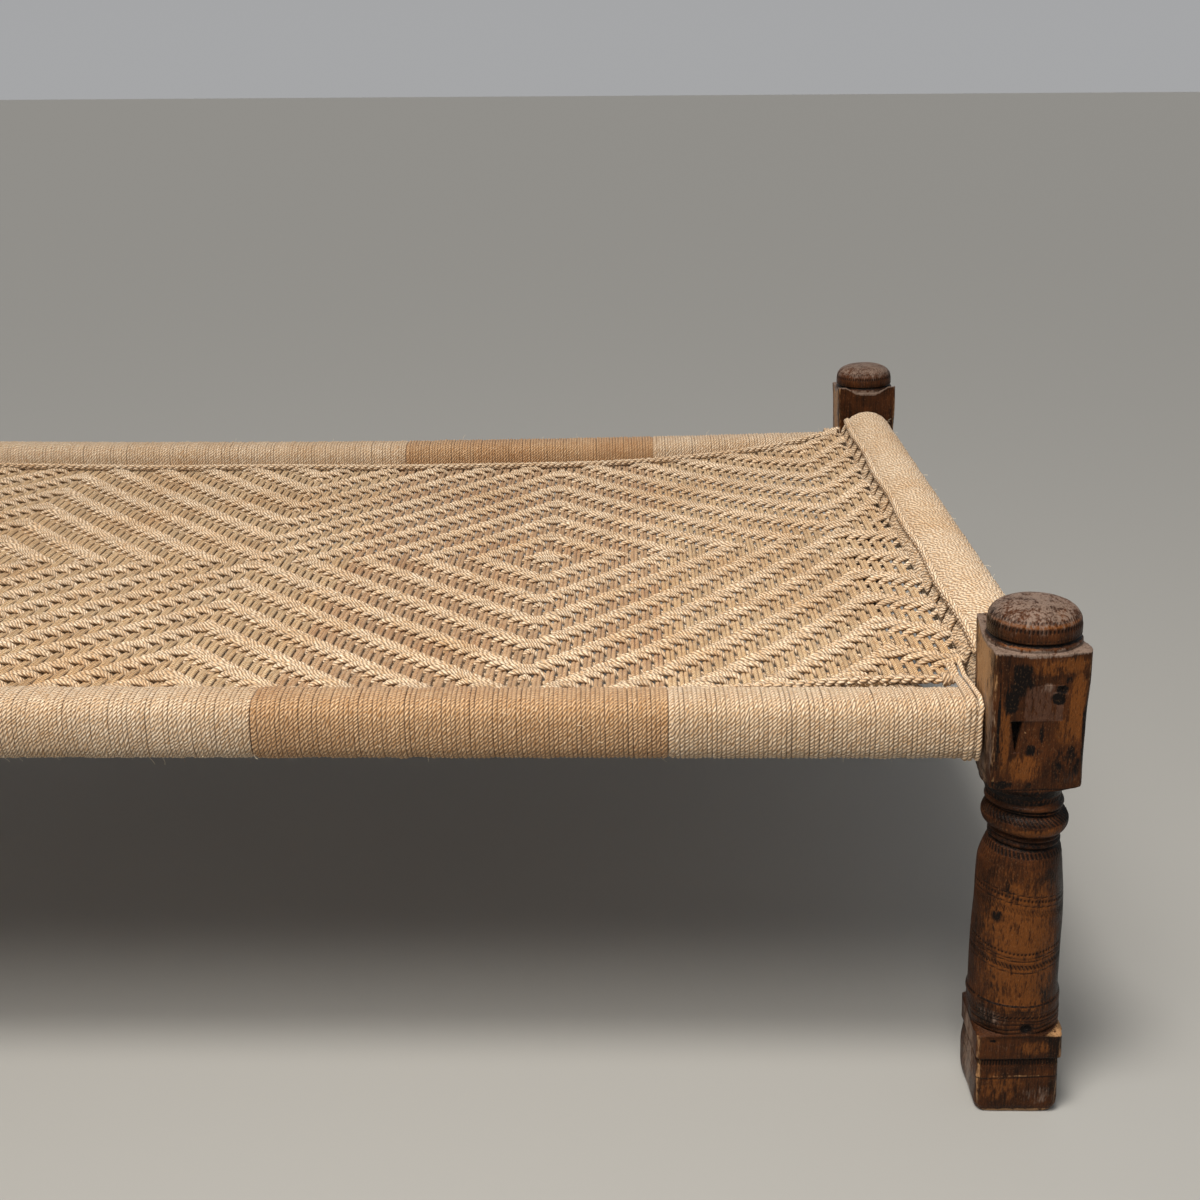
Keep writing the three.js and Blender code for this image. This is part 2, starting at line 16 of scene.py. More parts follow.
import bpy
import numpy as np
from mathutils import Matrix, Vector

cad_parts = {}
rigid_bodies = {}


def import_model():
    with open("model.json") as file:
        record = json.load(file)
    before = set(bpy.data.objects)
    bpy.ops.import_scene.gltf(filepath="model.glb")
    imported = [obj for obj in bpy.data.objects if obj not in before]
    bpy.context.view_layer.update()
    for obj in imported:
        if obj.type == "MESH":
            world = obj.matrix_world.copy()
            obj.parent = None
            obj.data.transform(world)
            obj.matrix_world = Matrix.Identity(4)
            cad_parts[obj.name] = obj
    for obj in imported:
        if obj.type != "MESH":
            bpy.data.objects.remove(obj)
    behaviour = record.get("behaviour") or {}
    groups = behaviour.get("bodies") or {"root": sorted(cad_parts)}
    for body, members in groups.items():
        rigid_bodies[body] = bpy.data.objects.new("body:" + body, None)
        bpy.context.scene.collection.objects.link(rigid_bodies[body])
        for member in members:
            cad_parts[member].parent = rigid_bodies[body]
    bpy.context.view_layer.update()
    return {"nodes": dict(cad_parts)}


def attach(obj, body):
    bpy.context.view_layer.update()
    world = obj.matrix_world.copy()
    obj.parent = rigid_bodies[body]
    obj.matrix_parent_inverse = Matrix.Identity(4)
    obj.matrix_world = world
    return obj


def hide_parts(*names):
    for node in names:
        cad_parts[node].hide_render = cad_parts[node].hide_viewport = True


log = logging.getLogger("charpai")

BODY = "root"
MILLIMETRES = 1000
Numbers = np.ndarray
Stops = tuple[tuple[float, float], ...]


class Slot(Enum):
    """The record's material slots for the pieces made here."""

    LEG_WOOD = "leg_wood"
    PALE_CORD = "pale_cord"
    BROWN_CORD = "brown_cord"
    LACING_CORD = "lacing_cord"


# Small tools


def linear(hex_colour: str) -> tuple[float, float, float, float]:
    """Turns an sRGB hex value to the linear colour that Blender's sockets take.

    Args:
        hex_colour: Six hex digits with a leading #.

    Returns:
        Red, green, blue and an alpha of one.
    """
    channels = [int(hex_colour[at : at + 2], 16) / 255 for at in (1, 3, 5)]
    turned = [c / 12.92 if c <= 0.04045 else ((c + 0.055) / 1.055) ** 2.4 for c in channels]
    return (*turned, 1.0)


def feed(node: bpy.types.Node, sockets: dict) -> None:
    """Gives a node its socket values and links.

    Args:
        node: The node.
        sockets: For each input, by name or number, a value, or the output or the node that feeds
            it. A node feeds it by the first of its outputs that is in use.
    """
    for key, value in sockets.items():
        if isinstance(value, bpy.types.Node):
            value = next(output for output in value.outputs if output.enabled)
        if isinstance(value, bpy.types.NodeSocket):
            node.id_data.links.new(value, node.inputs[key])
        else:
            node.inputs[key].default_value = value


def add_node(
    tree: bpy.types.NodeTree, kind: str, sockets: dict | None = None, **settings: object
) -> bpy.types.Node:
    """Adds a node with its settings, its socket values and its links.

    Args:
        tree: The node tree that gets the node.
        kind: The node's type name.
        sockets: What its inputs get, as in feed.
        settings: The node's own properties.

    Returns:
        The new node.
    """
    node = tree.nodes.new(kind)
    for name, value in settings.items():
        setattr(node, name, value)
    feed(node, sockets or {})
    return node


def new_material(name: str) -> tuple[bpy.types.Material, Callable, bpy.types.Node]:
    """Starts a material.

    Args:
        name: The material's name.

    Returns:
        The material, the call that adds a node to it, and its shader.
    """
    made = bpy.data.materials.new(name)
    made.use_nodes = True
    return made, partial(add_node, made.node_tree), made.node_tree.nodes["Principled BSDF"]


def read_stops(place: Numbers, stops: Stops) -> Numbers:
    """Reads a value at each place from a list of places and values."""
    return np.interp(place, *np.array(stops, float).T)


def object_from(data: bpy.types.ID) -> bpy.types.Object:
    """Links a mesh, lamp or camera to the scene.

    Args:
        data: The mesh, lamp or camera.

    Returns:
        Its object, of the same name.
    """
    holder = bpy.data.objects.new(data.name, data)
    bpy.context.scene.collection.objects.link(holder)
    return holder


def store(mesh: bpy.types.Mesh, name: str, values: Numbers) -> None:
    """Stores one number for each vertex of a mesh under a name."""
    mesh.attributes.new(name, "FLOAT", "POINT").data.foreach_set("value", values.astype(np.float32))


def settle(piece: bpy.types.Object, tree: bpy.types.NodeTree, inputs: dict) -> None:
    """Runs a Geometry Nodes tree on an object and keeps the result as its plain mesh.

    Args:
        piece: The object that the tree reads.
        tree: The Geometry Nodes tree.
        inputs: Values for the tree's named inputs.
    """
    modifier = piece.modifiers.new(tree.name, "NODES")
    modifier.node_group = tree
    for item in tree.interface.items_tree:
        if item.item_type == "SOCKET" and item.in_out == "INPUT" and item.name in inputs:
            modifier[item.identifier] = inputs[item.name]
    depsgraph = bpy.context.evaluated_depsgraph_get()
    finished = bpy.data.meshes.new_from_object(
        piece.evaluated_get(depsgraph), preserve_all_data_layers=True, depsgraph=depsgraph
    )
    piece.modifiers.remove(modifier)
    piece.data = finished
    finished.name = piece.name


def place(piece: bpy.types.Object, slot: Slot, *nodes: str) -> None:
    """Rides a finished piece on the bed and hides the CAD nodes it stands for.

    Args:
        piece: The piece, with its place in its mesh.
        slot: The record's material slot for it; not used.
        nodes: The CAD nodes that it replaces.
    """
    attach(piece, BODY)
    if nodes:
        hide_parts(*nodes)
    log.info("%s: %d faces", piece.name, len(piece.data.polygons))


@dataclass(frozen=True)
class CordLay:
    """How one kind of cord lies along its guide lines."""

    radius: float
    sides: int
    wander: float
    wander_scale: float
    seed: int

    def inputs(self, material: bpy.types.Material) -> dict:
        """Gives the cord tree's inputs.

        Args:
            material: The cord's material.

        Returns:
            The inputs by name.
        """
        return {
            "Cord Radius": self.radius, "Sides": self.sides, "Wander": self.wander,
            "Wander Scale": self.wander_scale, "Seed": self.seed, "Material": material,
        }


@dataclass
class Guides:
    """Loose lines with a named value at each point, which Geometry Nodes then turn into cords."""

    lines: list[Numbers] = field(default_factory=list)
    marks: dict[str, list[Numbers]] = field(default_factory=dict)

    def add(self, line: Numbers, kept: Numbers | slice = slice(None), **values: Numbers | float) -> None:
        """Adds one line.

        Args:
            line: Its points, one row of three for each.
            kept: Which of the points are kept.
            values: Named values, one for the line or one for each point.
        """
        self.lines.append(line[kept])
        for key, value in values.items():
            self.marks.setdefault(key, []).append(np.broadcast_to(value, len(line)).astype(float)[kept])

    def lay(self, name: str, tree: bpy.types.NodeTree, inputs: dict, slot: Slot, *nodes: str) -> None:
        """Lays cords along the lines and places them as one piece.

        Args:
            name: The piece's name.
            tree: The tree that makes the cords.
            inputs: The tree's inputs.
            slot: The record's material slot.
            nodes: The CAD nodes that the piece replaces.
        """
        points = np.concatenate(self.lines)
        mesh = bpy.data.meshes.new(name)
        mesh.vertices.add(len(points))
        mesh.vertices.foreach_set("co", points.astype(np.float32).ravel())
        starts = np.cumsum([0] + [len(line) for line in self.lines])
        first = np.concatenate([np.arange(a, b - 1) for a, b in zip(starts[:-1], starts[1:])])
        mesh.edges.add(len(first))
        mesh.edges.foreach_set("vertices", np.stack([first, first + 1], 1).astype(np.int32).ravel())
        for key, values in self.marks.items():
            store(mesh, key, np.concatenate(values))
        mesh.update()
        piece = object_from(mesh)
        settle(piece, tree, inputs)
        place(piece, slot, *nodes)


# Geometry Nodes

GUIDES_INPUT = {"Guides": "NodeSocketGeometry"}
LAST_INPUTS = {"Seed": "NodeSocketInt", "Material": "NodeSocketMaterial"}
CORD_INPUTS = GUIDES_INPUT | {
    "Cord Radius": "NodeSocketFloat", "Sides": "NodeSocketInt", "Wander": "NodeSocketFloat",
    "Wander Scale": "NodeSocketFloat",
} | LAST_INPUTS
WEAVE_INPUTS = CORD_INPUTS | {
    "Lift": "NodeSocketFloat", "Arch": "NodeSocketFloat", "Crossing": "NodeSocketFloat",
    "Pair Gap": "NodeSocketFloat", "Across": "NodeSocketVector", "Figure Repeat": "NodeSocketFloat",
    "Units To Turn": "NodeSocketFloat",
}
FIBRE_INPUTS = GUIDES_INPUT | {
    "Density": "NodeSocketFloat", "Length": "NodeSocketFloat", "Thickness": "NodeSocketFloat",
} | LAST_INPUTS

# Sets each cord's drift apart from the next one's, by its own tone
TONE_STRIDE = 71.0
# A corner's turn that falls this far short of its face's middle has gone back to nothing
SEAM_JUMP = 0.25
# A fibre of length one, which leaves upright and bends over
FIBRE_BEND = {"Start": (0.0, 0.0, 0.0), "Middle": (0.1, 0.05, 0.55), "End": (0.6, -0.1, 0.8)}
# The shares of the full length that the shortest and the longest fibre have
FIBRE_SHARES = (0.25, 1.25)
# A pair of cords opens a little over the crest of its float, and closes where it crosses
PAIR_CLOSED_SHARE = 0.92
PAIR_OPENING_SHARE = 0.16
# The arithmetic of the diamonds: each step's name, what it does and what it works on
WEAVE_STEPS = (
    ("column out", "ABSOLUTE", "column"),
    ("folded column", "PINGPONG", "column out", "Units To Turn"),
    ("row out", "ABSOLUTE", "row"),
    ("place", "ADD", "folded column", "row out"),
    ("half repeat", "DIVIDE", "Figure Repeat", 2.0),
    ("half float", "DIVIDE", "half repeat", 2.0),
    ("middle of place", "ADD", "place", 0.5),
    ("from crest", "SUBTRACT", "middle of place", "half float"),
    ("lowest", "MULTIPLY", "half repeat", -1.0),
    ("wrapped", "WRAP", "from crest", "half repeat", "lowest"),
    ("away", "ABSOLUTE", "wrapped"),
    ("still over", "SUBTRACT", "half float", "Crossing"),
    ("now under", "ADD", "half float", "Crossing"),
    ("over", "SMOOTHSTEP", "away", "still over", "now under", 1.0, -1.0),
    ("share", "DIVIDE", "away", "half float"),
    ("square", "MULTIPLY", "share", "share"),
    ("open dome", "SUBTRACT", 1.0, "square"),
    ("dome", "MAXIMUM", "open dome", 0.0),
    ("raised", "MULTIPLY", "over", "Lift"),
    ("arched", "MULTIPLY", "dome", "Arch"),
    ("rise", "ADD", "raised", "arched"),
    ("opening", "MULTIPLY_ADD", "dome", PAIR_OPENING_SHARE, PAIR_CLOSED_SHARE),
    ("half gap", "MULTIPLY", "Pair Gap", "opening"),
    ("spread", "MULTIPLY", "side", "half gap"),
)


def new_tree(name: str, inputs: dict[str, str]) -> tuple[bpy.types.NodeTree, Callable, dict]:
    """Starts a Geometry Nodes tree.

    Args:
        name: The tree's name.
        inputs: The names of its inputs with their socket types, in order.

    Returns:
        The tree, the call that adds a node to it, and its inputs by name.
    """
    tree = bpy.data.node_groups.new(name, "GeometryNodeTree")
    for label, kind in inputs.items():
        tree.interface.new_socket(name=label, in_out="INPUT", socket_type=kind)
    tree.interface.new_socket(name="Mesh", in_out="OUTPUT", socket_type="NodeSocketGeometry")
    given = add_node(tree, "NodeGroupInput").outputs
    return tree, partial(add_node, tree), {label: given[label] for label in inputs}


def end_tree(node: Callable, made: bpy.types.Node, material: bpy.types.NodeSocket) -> None:
    """Ends a tree with real geometry in its material.

    Args:
        node: The call that adds a node to the tree.
        made: The node that gives the geometry.
        material: The input with its material.
    """
    real = node("GeometryNodeRealizeInstances", {"Geometry": made})
    dressed = node("GeometryNodeSetMaterial", {"Geometry": real, "Material": material})
    node("NodeGroupOutput", {0: dressed})


def cord_tree() -> bpy.types.NodeTree:
    """Builds the tree that lays a round cord along each guide line.

    The mesh keeps cord_along, the length along the cord, and cord_turn, the share of a turn round
    it, so that the twist of the plies follows the cord.

    Returns:
        The Geometry Nodes tree.
    """
    tree, node, given = new_tree("Lay cords", CORD_INPUTS)
    tone = node("GeometryNodeInputNamedAttribute", {"Name": "cord_tone"}, data_type="FLOAT")
    own = node("ShaderNodeMath", {0: tone, 1: TONE_STRIDE, 2: given["Seed"]}, operation="MULTIPLY_ADD")
    drift = node(
        "ShaderNodeTexNoise", {"W": own, "Scale": given["Wander Scale"], "Detail": 1.0}, noise_dimensions="4D"
    )
    centred = node(
        "ShaderNodeVectorMath", {0: drift.outputs["Color"], 1: (0.5, 0.5, 0.5)}, operation="SUBTRACT"
    )
    wander = node("ShaderNodeVectorMath", {0: centred, "Scale": given["Wander"]}, operation="SCALE")
    moved = node("GeometryNodeSetPosition", {"Geometry": given["Guides"], "Offset": wander})
    curve = node("GeometryNodeMeshToCurve", {"Mesh": moved})
    ring = node(
        "GeometryNodeCurvePrimitiveCircle", {"Resolution": given["Sides"], "Radius": given["Cord Radius"]}
    )
    along, around = (
        node(
            "GeometryNodeStoreNamedAttribute",
            {"Geometry": line, "Name": name, "Value": node("GeometryNodeSplineParameter").outputs[measure]},
            data_type="FLOAT", domain="POINT",
        )
        for line, name, measure in ((curve, "cord_along", "Length"), (ring, "cord_around", "Factor"))
    )
    tube = node("GeometryNodeCurveToMesh", {"Curve": along, "Profile Curve": around, "Fill Caps": True})
    # The last face of each ring runs on past a whole turn, instead of back to nothing
    raw = node("GeometryNodeInputNamedAttribute", {"Name": "cord_around"}, data_type="FLOAT")
    middle = node("GeometryNodeFieldOnDomain", {0: raw}, data_type="FLOAT", domain="FACE")
    jump = node("ShaderNodeMath", {0: middle, 1: raw}, operation="SUBTRACT")
    seam = node("ShaderNodeMath", {0: jump, 1: SEAM_JUMP}, operation="GREATER_THAN")
    closed = node("ShaderNodeMath", {0: raw, 1: seam}, operation="ADD")
    turned = node(
        "GeometryNodeStoreNamedAttribute", {"Geometry": tube, "Name": "cord_turn", "Value": closed},
        data_type="FLOAT", domain="CORNER",
    )
    end_tree(node, node("GeometryNodeSetShadeSmooth", {"Geometry": turned}), given["Material"])
    return tree


def weave_tree(cords: bpy.types.NodeTree) -> bpy.types.NodeTree:
    """Builds the tree that lifts guide lines over and under in the diamond figure, then lays cords.

    A point's place in the figure is its column, folded back at every turn, plus its row. Over
    half of each repeat the lengthwise cords float over, and over the other half they pass under.

    Args:
        cords: The tree that lays the cords.

    Returns:
        The Geometry Nodes tree.
    """
    tree, node, given = new_tree("Weave diamonds", WEAVE_INPUTS)
    known = dict(given)
    for key in ("column", "row", "side"):
        known[key] = node("GeometryNodeInputNamedAttribute", {"Name": key}, data_type="FLOAT")
    for name, action, *terms in WEAVE_STEPS:
        sockets = dict(enumerate(known.get(term, term) for term in terms))
        if action == "SMOOTHSTEP":
            known[name] = node("ShaderNodeMapRange", sockets, interpolation_type=action)
        else:
            known[name] = node("ShaderNodeMath", sockets, operation=action)
    upward = node("ShaderNodeCombineXYZ", {"Z": known["rise"]})
    sideways = node("ShaderNodeVectorMath", {0: given["Across"], "Scale": known["spread"]}, operation="SCALE")
    offset = node("ShaderNodeVectorMath", {0: upward, 1: sideways}, operation="ADD")
    woven = node("GeometryNodeSetPosition", {"Geometry": given["Guides"], "Offset": offset})
    laid = node(
        "GeometryNodeGroup", {name: given[name] for name in CORD_INPUTS} | {"Guides": woven}, node_tree=cords
    )
    node("NodeGroupOutput", {0: laid})
    return tree


def fibre_tree() -> bpy.types.NodeTree:
    """Builds the tree that stands short bent fibres on a surface.

    Returns:
        The Geometry Nodes tree.
    """
    tree, node, given = new_tree("Raise fibres", FIBRE_INPUTS)
    spots = node(
        "GeometryNodeDistributePointsOnFaces",
        {"Mesh": given["Guides"], "Density": given["Density"], "Seed": given["Seed"]},
    )
    bend = node("GeometryNodeCurveQuadraticBezier", {"Resolution": 4} | FIBRE_BEND)
    slim = node("ShaderNodeMath", {0: given["Thickness"], 1: given["Length"]}, operation="DIVIDE")
    section = node("GeometryNodeCurvePrimitiveCircle", {"Resolution": 3, "Radius": slim})
    fibre = node("GeometryNodeCurveToMesh", {"Curve": bend, "Profile Curve": section, "Fill Caps": True})
    # Each one leans its own way and has its own length
    stray = node(
        "FunctionNodeRandomValue",
        {"Min": (-1.0, -1.0, -1.0), "Max": (1.0, 1.0, 1.0), "Seed": given["Seed"]}, data_type="FLOAT_VECTOR",
    )
    leaning = node("ShaderNodeVectorMath", {0: spots.outputs["Normal"], 1: stray}, operation="ADD")
    facing = node("FunctionNodeAlignRotationToVector", {"Vector": leaning}, axis="Z")
    shares = {2: FIBRE_SHARES[0], 3: FIBRE_SHARES[1], "Seed": given["Seed"]}
    share = node("FunctionNodeRandomValue", shares, data_type="FLOAT")
    size = node("ShaderNodeMath", {0: share, 1: given["Length"]}, operation="MULTIPLY")
    stood = node("GeometryNodeInstanceOnPoints", {
        "Points": spots, "Instance": fibre, "Rotation": facing, "Scale": size,
    })
    end_tree(node, stood, given["Material"])
    return tree


# Finishes


@dataclass(frozen=True)
class CordFinish:
    """Jute twine: dry, matte fibre in slanting strands, darker where the strands meet, which is painted
    shade.
    """

    name: str
    light: str
    deep: str
    # Painted shade in the hollows between the plies
    groove: str
    stain: str
    ply_pitch: float = 0.0036
    plies: float = 3.0
    ply_roundness: float = 0.6
    fibres_to_ply: float = 5.0
    fibre_length: float = 0.004
    fibre_span: tuple[float, float] = (0.42, 0.58)
    fibre_relief_share: float = 0.45
    cord_stride: float = 97.0
    drift_length: float = 0.03
    drift_turns: float = 3.0
    shade_span: tuple[float, float] = (0.84, 1.1)
    stain_size: float = 0.11
    stain_span: tuple[float, float] = (0.45, 0.72)
    stain_share: float = 0.5
    ply_height: float = 0.0007
    roughness: float = 0.92
    sheen: float = 0.12
    specular: float = 0.25

    def material(self) -> bpy.types.Material:
        """Builds the twine's material.

        Returns:
            The material, with its pattern on the cord's own length and turn.
        """
        made, node, shader = new_material(self.name)
        along, turn, tone = (
            node("ShaderNodeAttribute", attribute_name=name).outputs["Fac"]
            for name in ("cord_along", "cord_turn", "cord_tone")
        )
        # The plies slant round the cord, a Z twist: this counts them along it
        steady = node("ShaderNodeMath", {0: along, 1: 1 / self.ply_pitch, 2: tone}, operation="MULTIPLY_ADD")
        # The twist tightens and slackens along the cord, so turns side by side never match
        slack = node(
            "ShaderNodeTexNoise", {"W": along, "Scale": 1 / self.drift_length, "Detail": 1.0},
            noise_dimensions="1D",
        )
        count = node("ShaderNodeMath", {0: slack, 1: self.drift_turns, 2: steady}, operation="MULTIPLY_ADD")
        ply = node("ShaderNodeMath", {0: turn, 1: -self.plies, 2: count}, operation="MULTIPLY_ADD")
        ridge = node("ShaderNodeMath", {0: ply, 1: 0.5}, operation="PINGPONG")
        ridge = node("ShaderNodeMath", {0: ridge, 1: 2.0}, operation="MULTIPLY")
        rounded = node("ShaderNodeMath", {0: ridge, 1: self.ply_roundness}, operation="POWER")
        # Fibres lie along the plies: many across one, and long, and apart from the next cord's
        fibre_place = node("ShaderNodeCombineXYZ", {
            axis: node("ShaderNodeMath", {0: source, 1: factor}, operation="MULTIPLY")
            for axis, source, factor in (
                ("X", ply, self.fibres_to_ply), ("Y", along, 1 / self.fibre_length),
                ("Z", tone, self.cord_stride),
            )
        })
        fibre = node("ShaderNodeTexNoise", {"Vector": fibre_place, "Scale": 1.0, "Detail": 2.0})
        strands = node("ShaderNodeMapRange", {0: fibre, 1: self.fibre_span[0], 2: self.fibre_span[1]})
        body = node(
            "ShaderNodeMix", {"Factor": strands, 6: linear(self.deep), 7: linear(self.light)},
            data_type="RGBA",
        )
        # Each cord's own shade
        shade = node("ShaderNodeMapRange", {0: tone, 3: self.shade_span[0], 4: self.shade_span[1]})
        toned = node("ShaderNodeVectorMath", {0: body, "Scale": shade}, operation="SCALE")
        where = node("ShaderNodeTexCoord").outputs["Object"]
        cloud = node("ShaderNodeTexNoise", {"Vector": where, "Scale": 1 / self.stain_size, "Detail": 3.0})
        patch = node("ShaderNodeMapRange", {
            0: cloud, 1: self.stain_span[0], 2: self.stain_span[1], 4: self.stain_share,
        })
        stained = node(
            "ShaderNodeMix", {"Factor": patch, 6: toned, 7: linear(self.stain)},
            data_type="RGBA", blend_type="MULTIPLY",
        )
        # Painted shade: the groove colour fills the hollows between the plies
        coloured = node(
            "ShaderNodeMix", {"Factor": rounded, 6: linear(self.groove), 7: stained}, data_type="RGBA"
        )
        height = node(
            "ShaderNodeMath", {0: fibre, 1: self.fibre_relief_share, 2: rounded}, operation="MULTIPLY_ADD"
        )
        bump = node("ShaderNodeBump", {"Height": height, "Distance": self.ply_height, "Strength": 1.0})
        feed(shader, {
            "Base Color": coloured, "Normal": bump, "Roughness": self.roughness,
            "Sheen Weight": self.sheen, "Specular IOR Level": self.specular,
        })
        return made


@dataclass(frozen=True)
class FibreFinish:
    """Loose jute fibres: straw that catches the light, some of them darker."""

    name: str
    light: str
    deep: str
    patch_size: float = 0.02
    deep_span: tuple[float, float] = (0.56, 0.66)
    roughness: float = 0.7

    def material(self) -> bpy.types.Material:
        """Builds the fibres' material.

        Returns:
            The material, with its darker fibres in patches of the piece's own coordinates.
        """
        made, node, shader = new_material(self.name)
        where = node("ShaderNodeTexCoord").outputs["Object"]
        cloud = node("ShaderNodeTexNoise", {"Vector": where, "Scale": 1 / self.patch_size, "Detail": 2.0})
        share = node("ShaderNodeMapRange", {0: cloud, 1: self.deep_span[0], 2: self.deep_span[1]})
        body = node(
            "ShaderNodeMix", {"Factor": share, 6: linear(self.light), 7: linear(self.deep)}, data_type="RGBA"
        )
        feed(shader, {"Base Color": body, "Roughness": self.roughness})
        return made


# What the years have left on the wood, with a painted sheen in the dust and painted shade in the soot,
# in the order that each covers the one before
WOOD_MARKS = ("glow", "wear", "end", "dust", "soot")
# Dirt in cut notches and grooves, which keeps its crisp edge
CUT_MARK = "cut"


@dataclass(frozen=True)
class WoodFinish:
    """Old hardwood under wax and smoke: upright grain, open pores, black where dirt has settled and where
    shade is painted.
    """

    name: str
    warm: str
    dark: str
    glow: str
    wear: str
    end: str
    # The dust colour also paints a sheen on the dome's top
    dust: str
    # The soot colour also paints shade on the barrel's far side
    soot: str
    fleck: str
    roughness: float = 0.38
    duller: float = 0.16
    glossier: float = 0.1
    gloss_span: tuple[float, float] = (0.3, 0.7)
    specular: float = 0.11
    # Each pattern's name, the width and the upright length of its marks, and its finer layers
    patterns: tuple = (
        ("grain", 0.0015, 0.045, 4.0), ("blotch", 0.032, 0.032, 4.0), ("pits", 0.0019, 0.0076, 3.0),
        ("patches", 0.008, 0.0208, 2.0), ("flecks", 0.0013, 0.00195, 1.0), ("pores", 0.0007, 0.0045, 1.5),
    )
    pattern_roughness: float = 0.62
    pattern_bend: float = 0.2
    grain_share: float = 0.75
    tint_span: tuple[float, float] = (0.66, 1.08)
    patch_share: float = 0.8
    unevenness: float = 2.6
    evenness: float = -1.34
    mark_span: tuple[float, float] = (0.3, 0.75)
    mark_share: float = 0.72
    # Where a layer starts to show, where it is full, and how much it then covers
    cut_cover: tuple[float, float, float] = (0.15, 0.75, 0.92)
    fleck_cover: tuple[float, float, float] = (0.6, 0.78, 0.22)
    pore_cover: tuple[float, float, float] = (0.4, 0.32, 0.5)
    relief: float = 0.0007
    relief_strength: float = 0.9

    def material(self) -> bpy.types.Material:
        """Builds the wood's material.

        Returns:
            The material, which reads the piece's own marks where it has them.
        """
        made, node, shader = new_material(self.name)
        where = node("ShaderNodeTexCoord").outputs["Object"]
        noise = {}
        for name, width, length, detail in self.patterns:
            drawn = node("ShaderNodeMapping", {"Vector": where, "Scale": (1.0, 1.0, width / length)})
            noise[name] = node("ShaderNodeTexNoise", {
                "Vector": drawn, "Scale": 1 / width, "Detail": detail,
                "Roughness": self.pattern_roughness, "Distortion": self.pattern_bend,
            })
        depth, ragged, rough = (
            node("ShaderNodeMath", {0: noise[first], 1: share, 2: noise[second]}, operation="MULTIPLY_ADD")
            for first, share, second in (
                ("grain", self.grain_share, "blotch"), ("patches", self.patch_share, "pits"),
                ("pits", self.patch_share, "pores"),
            )
        )
        tint = node("ShaderNodeMapRange", {0: depth, 1: self.tint_span[0], 2: self.tint_span[1]})
        # Marks take to the wood in pits and patches, so their edges are ragged
        uneven = node(
            "ShaderNodeMath", {0: ragged, 1: self.unevenness, 2: self.evenness}, operation="MULTIPLY_ADD"
        )
        layers = [(tint, linear(self.warm))]
        for mark in WOOD_MARKS:
            colour = linear(getattr(self, mark))
            painted = node("ShaderNodeAttribute", attribute_name=mark).outputs["Fac"]
            broken = node("ShaderNodeMath", {0: painted, 1: uneven}, operation="MULTIPLY")
            share = node(
                "ShaderNodeMapRange", {0: broken, 1: self.mark_span[0], 2: self.mark_span[1]},
                interpolation_type="SMOOTHSTEP",
            )
            streaked = node(
                "ShaderNodeMix", {"Factor": tint, 6: linear(self.dark), 7: colour}, data_type="RGBA"
            )
            shown = node(
                "ShaderNodeMix", {"Factor": self.mark_share, 6: streaked, 7: colour}, data_type="RGBA"
            )
            layers.append((share, shown))
        cut = node("ShaderNodeAttribute", attribute_name=CUT_MARK).outputs["Fac"]
        for source, (start, full, most), colour in (
            (cut, self.cut_cover, self.soot), (noise["flecks"], self.fleck_cover, self.fleck),
            (noise["pores"], self.pore_cover, self.soot),
        ):
            share = node("ShaderNodeMapRange", {0: source, 1: start, 2: full, 4: most})
            layers.append((share, linear(colour)))
        coloured = linear(self.dark)
        for share, colour in layers:
            coloured = node("ShaderNodeMix", {"Factor": share, 6: coloured, 7: colour}, data_type="RGBA")
        gloss = node("ShaderNodeMapRange", {
            0: noise["blotch"], 1: self.gloss_span[0], 2: self.gloss_span[1],
            3: self.roughness - self.glossier, 4: self.roughness + self.duller,
        })
        bump = node(
            "ShaderNodeBump", {"Height": rough, "Distance": self.relief, "Strength": self.relief_strength}
        )
        feed(shader, {
            "Base Color": coloured, "Roughness": gloss, "Normal": bump, "Specular IOR Level": self.specular,
        })
        return made


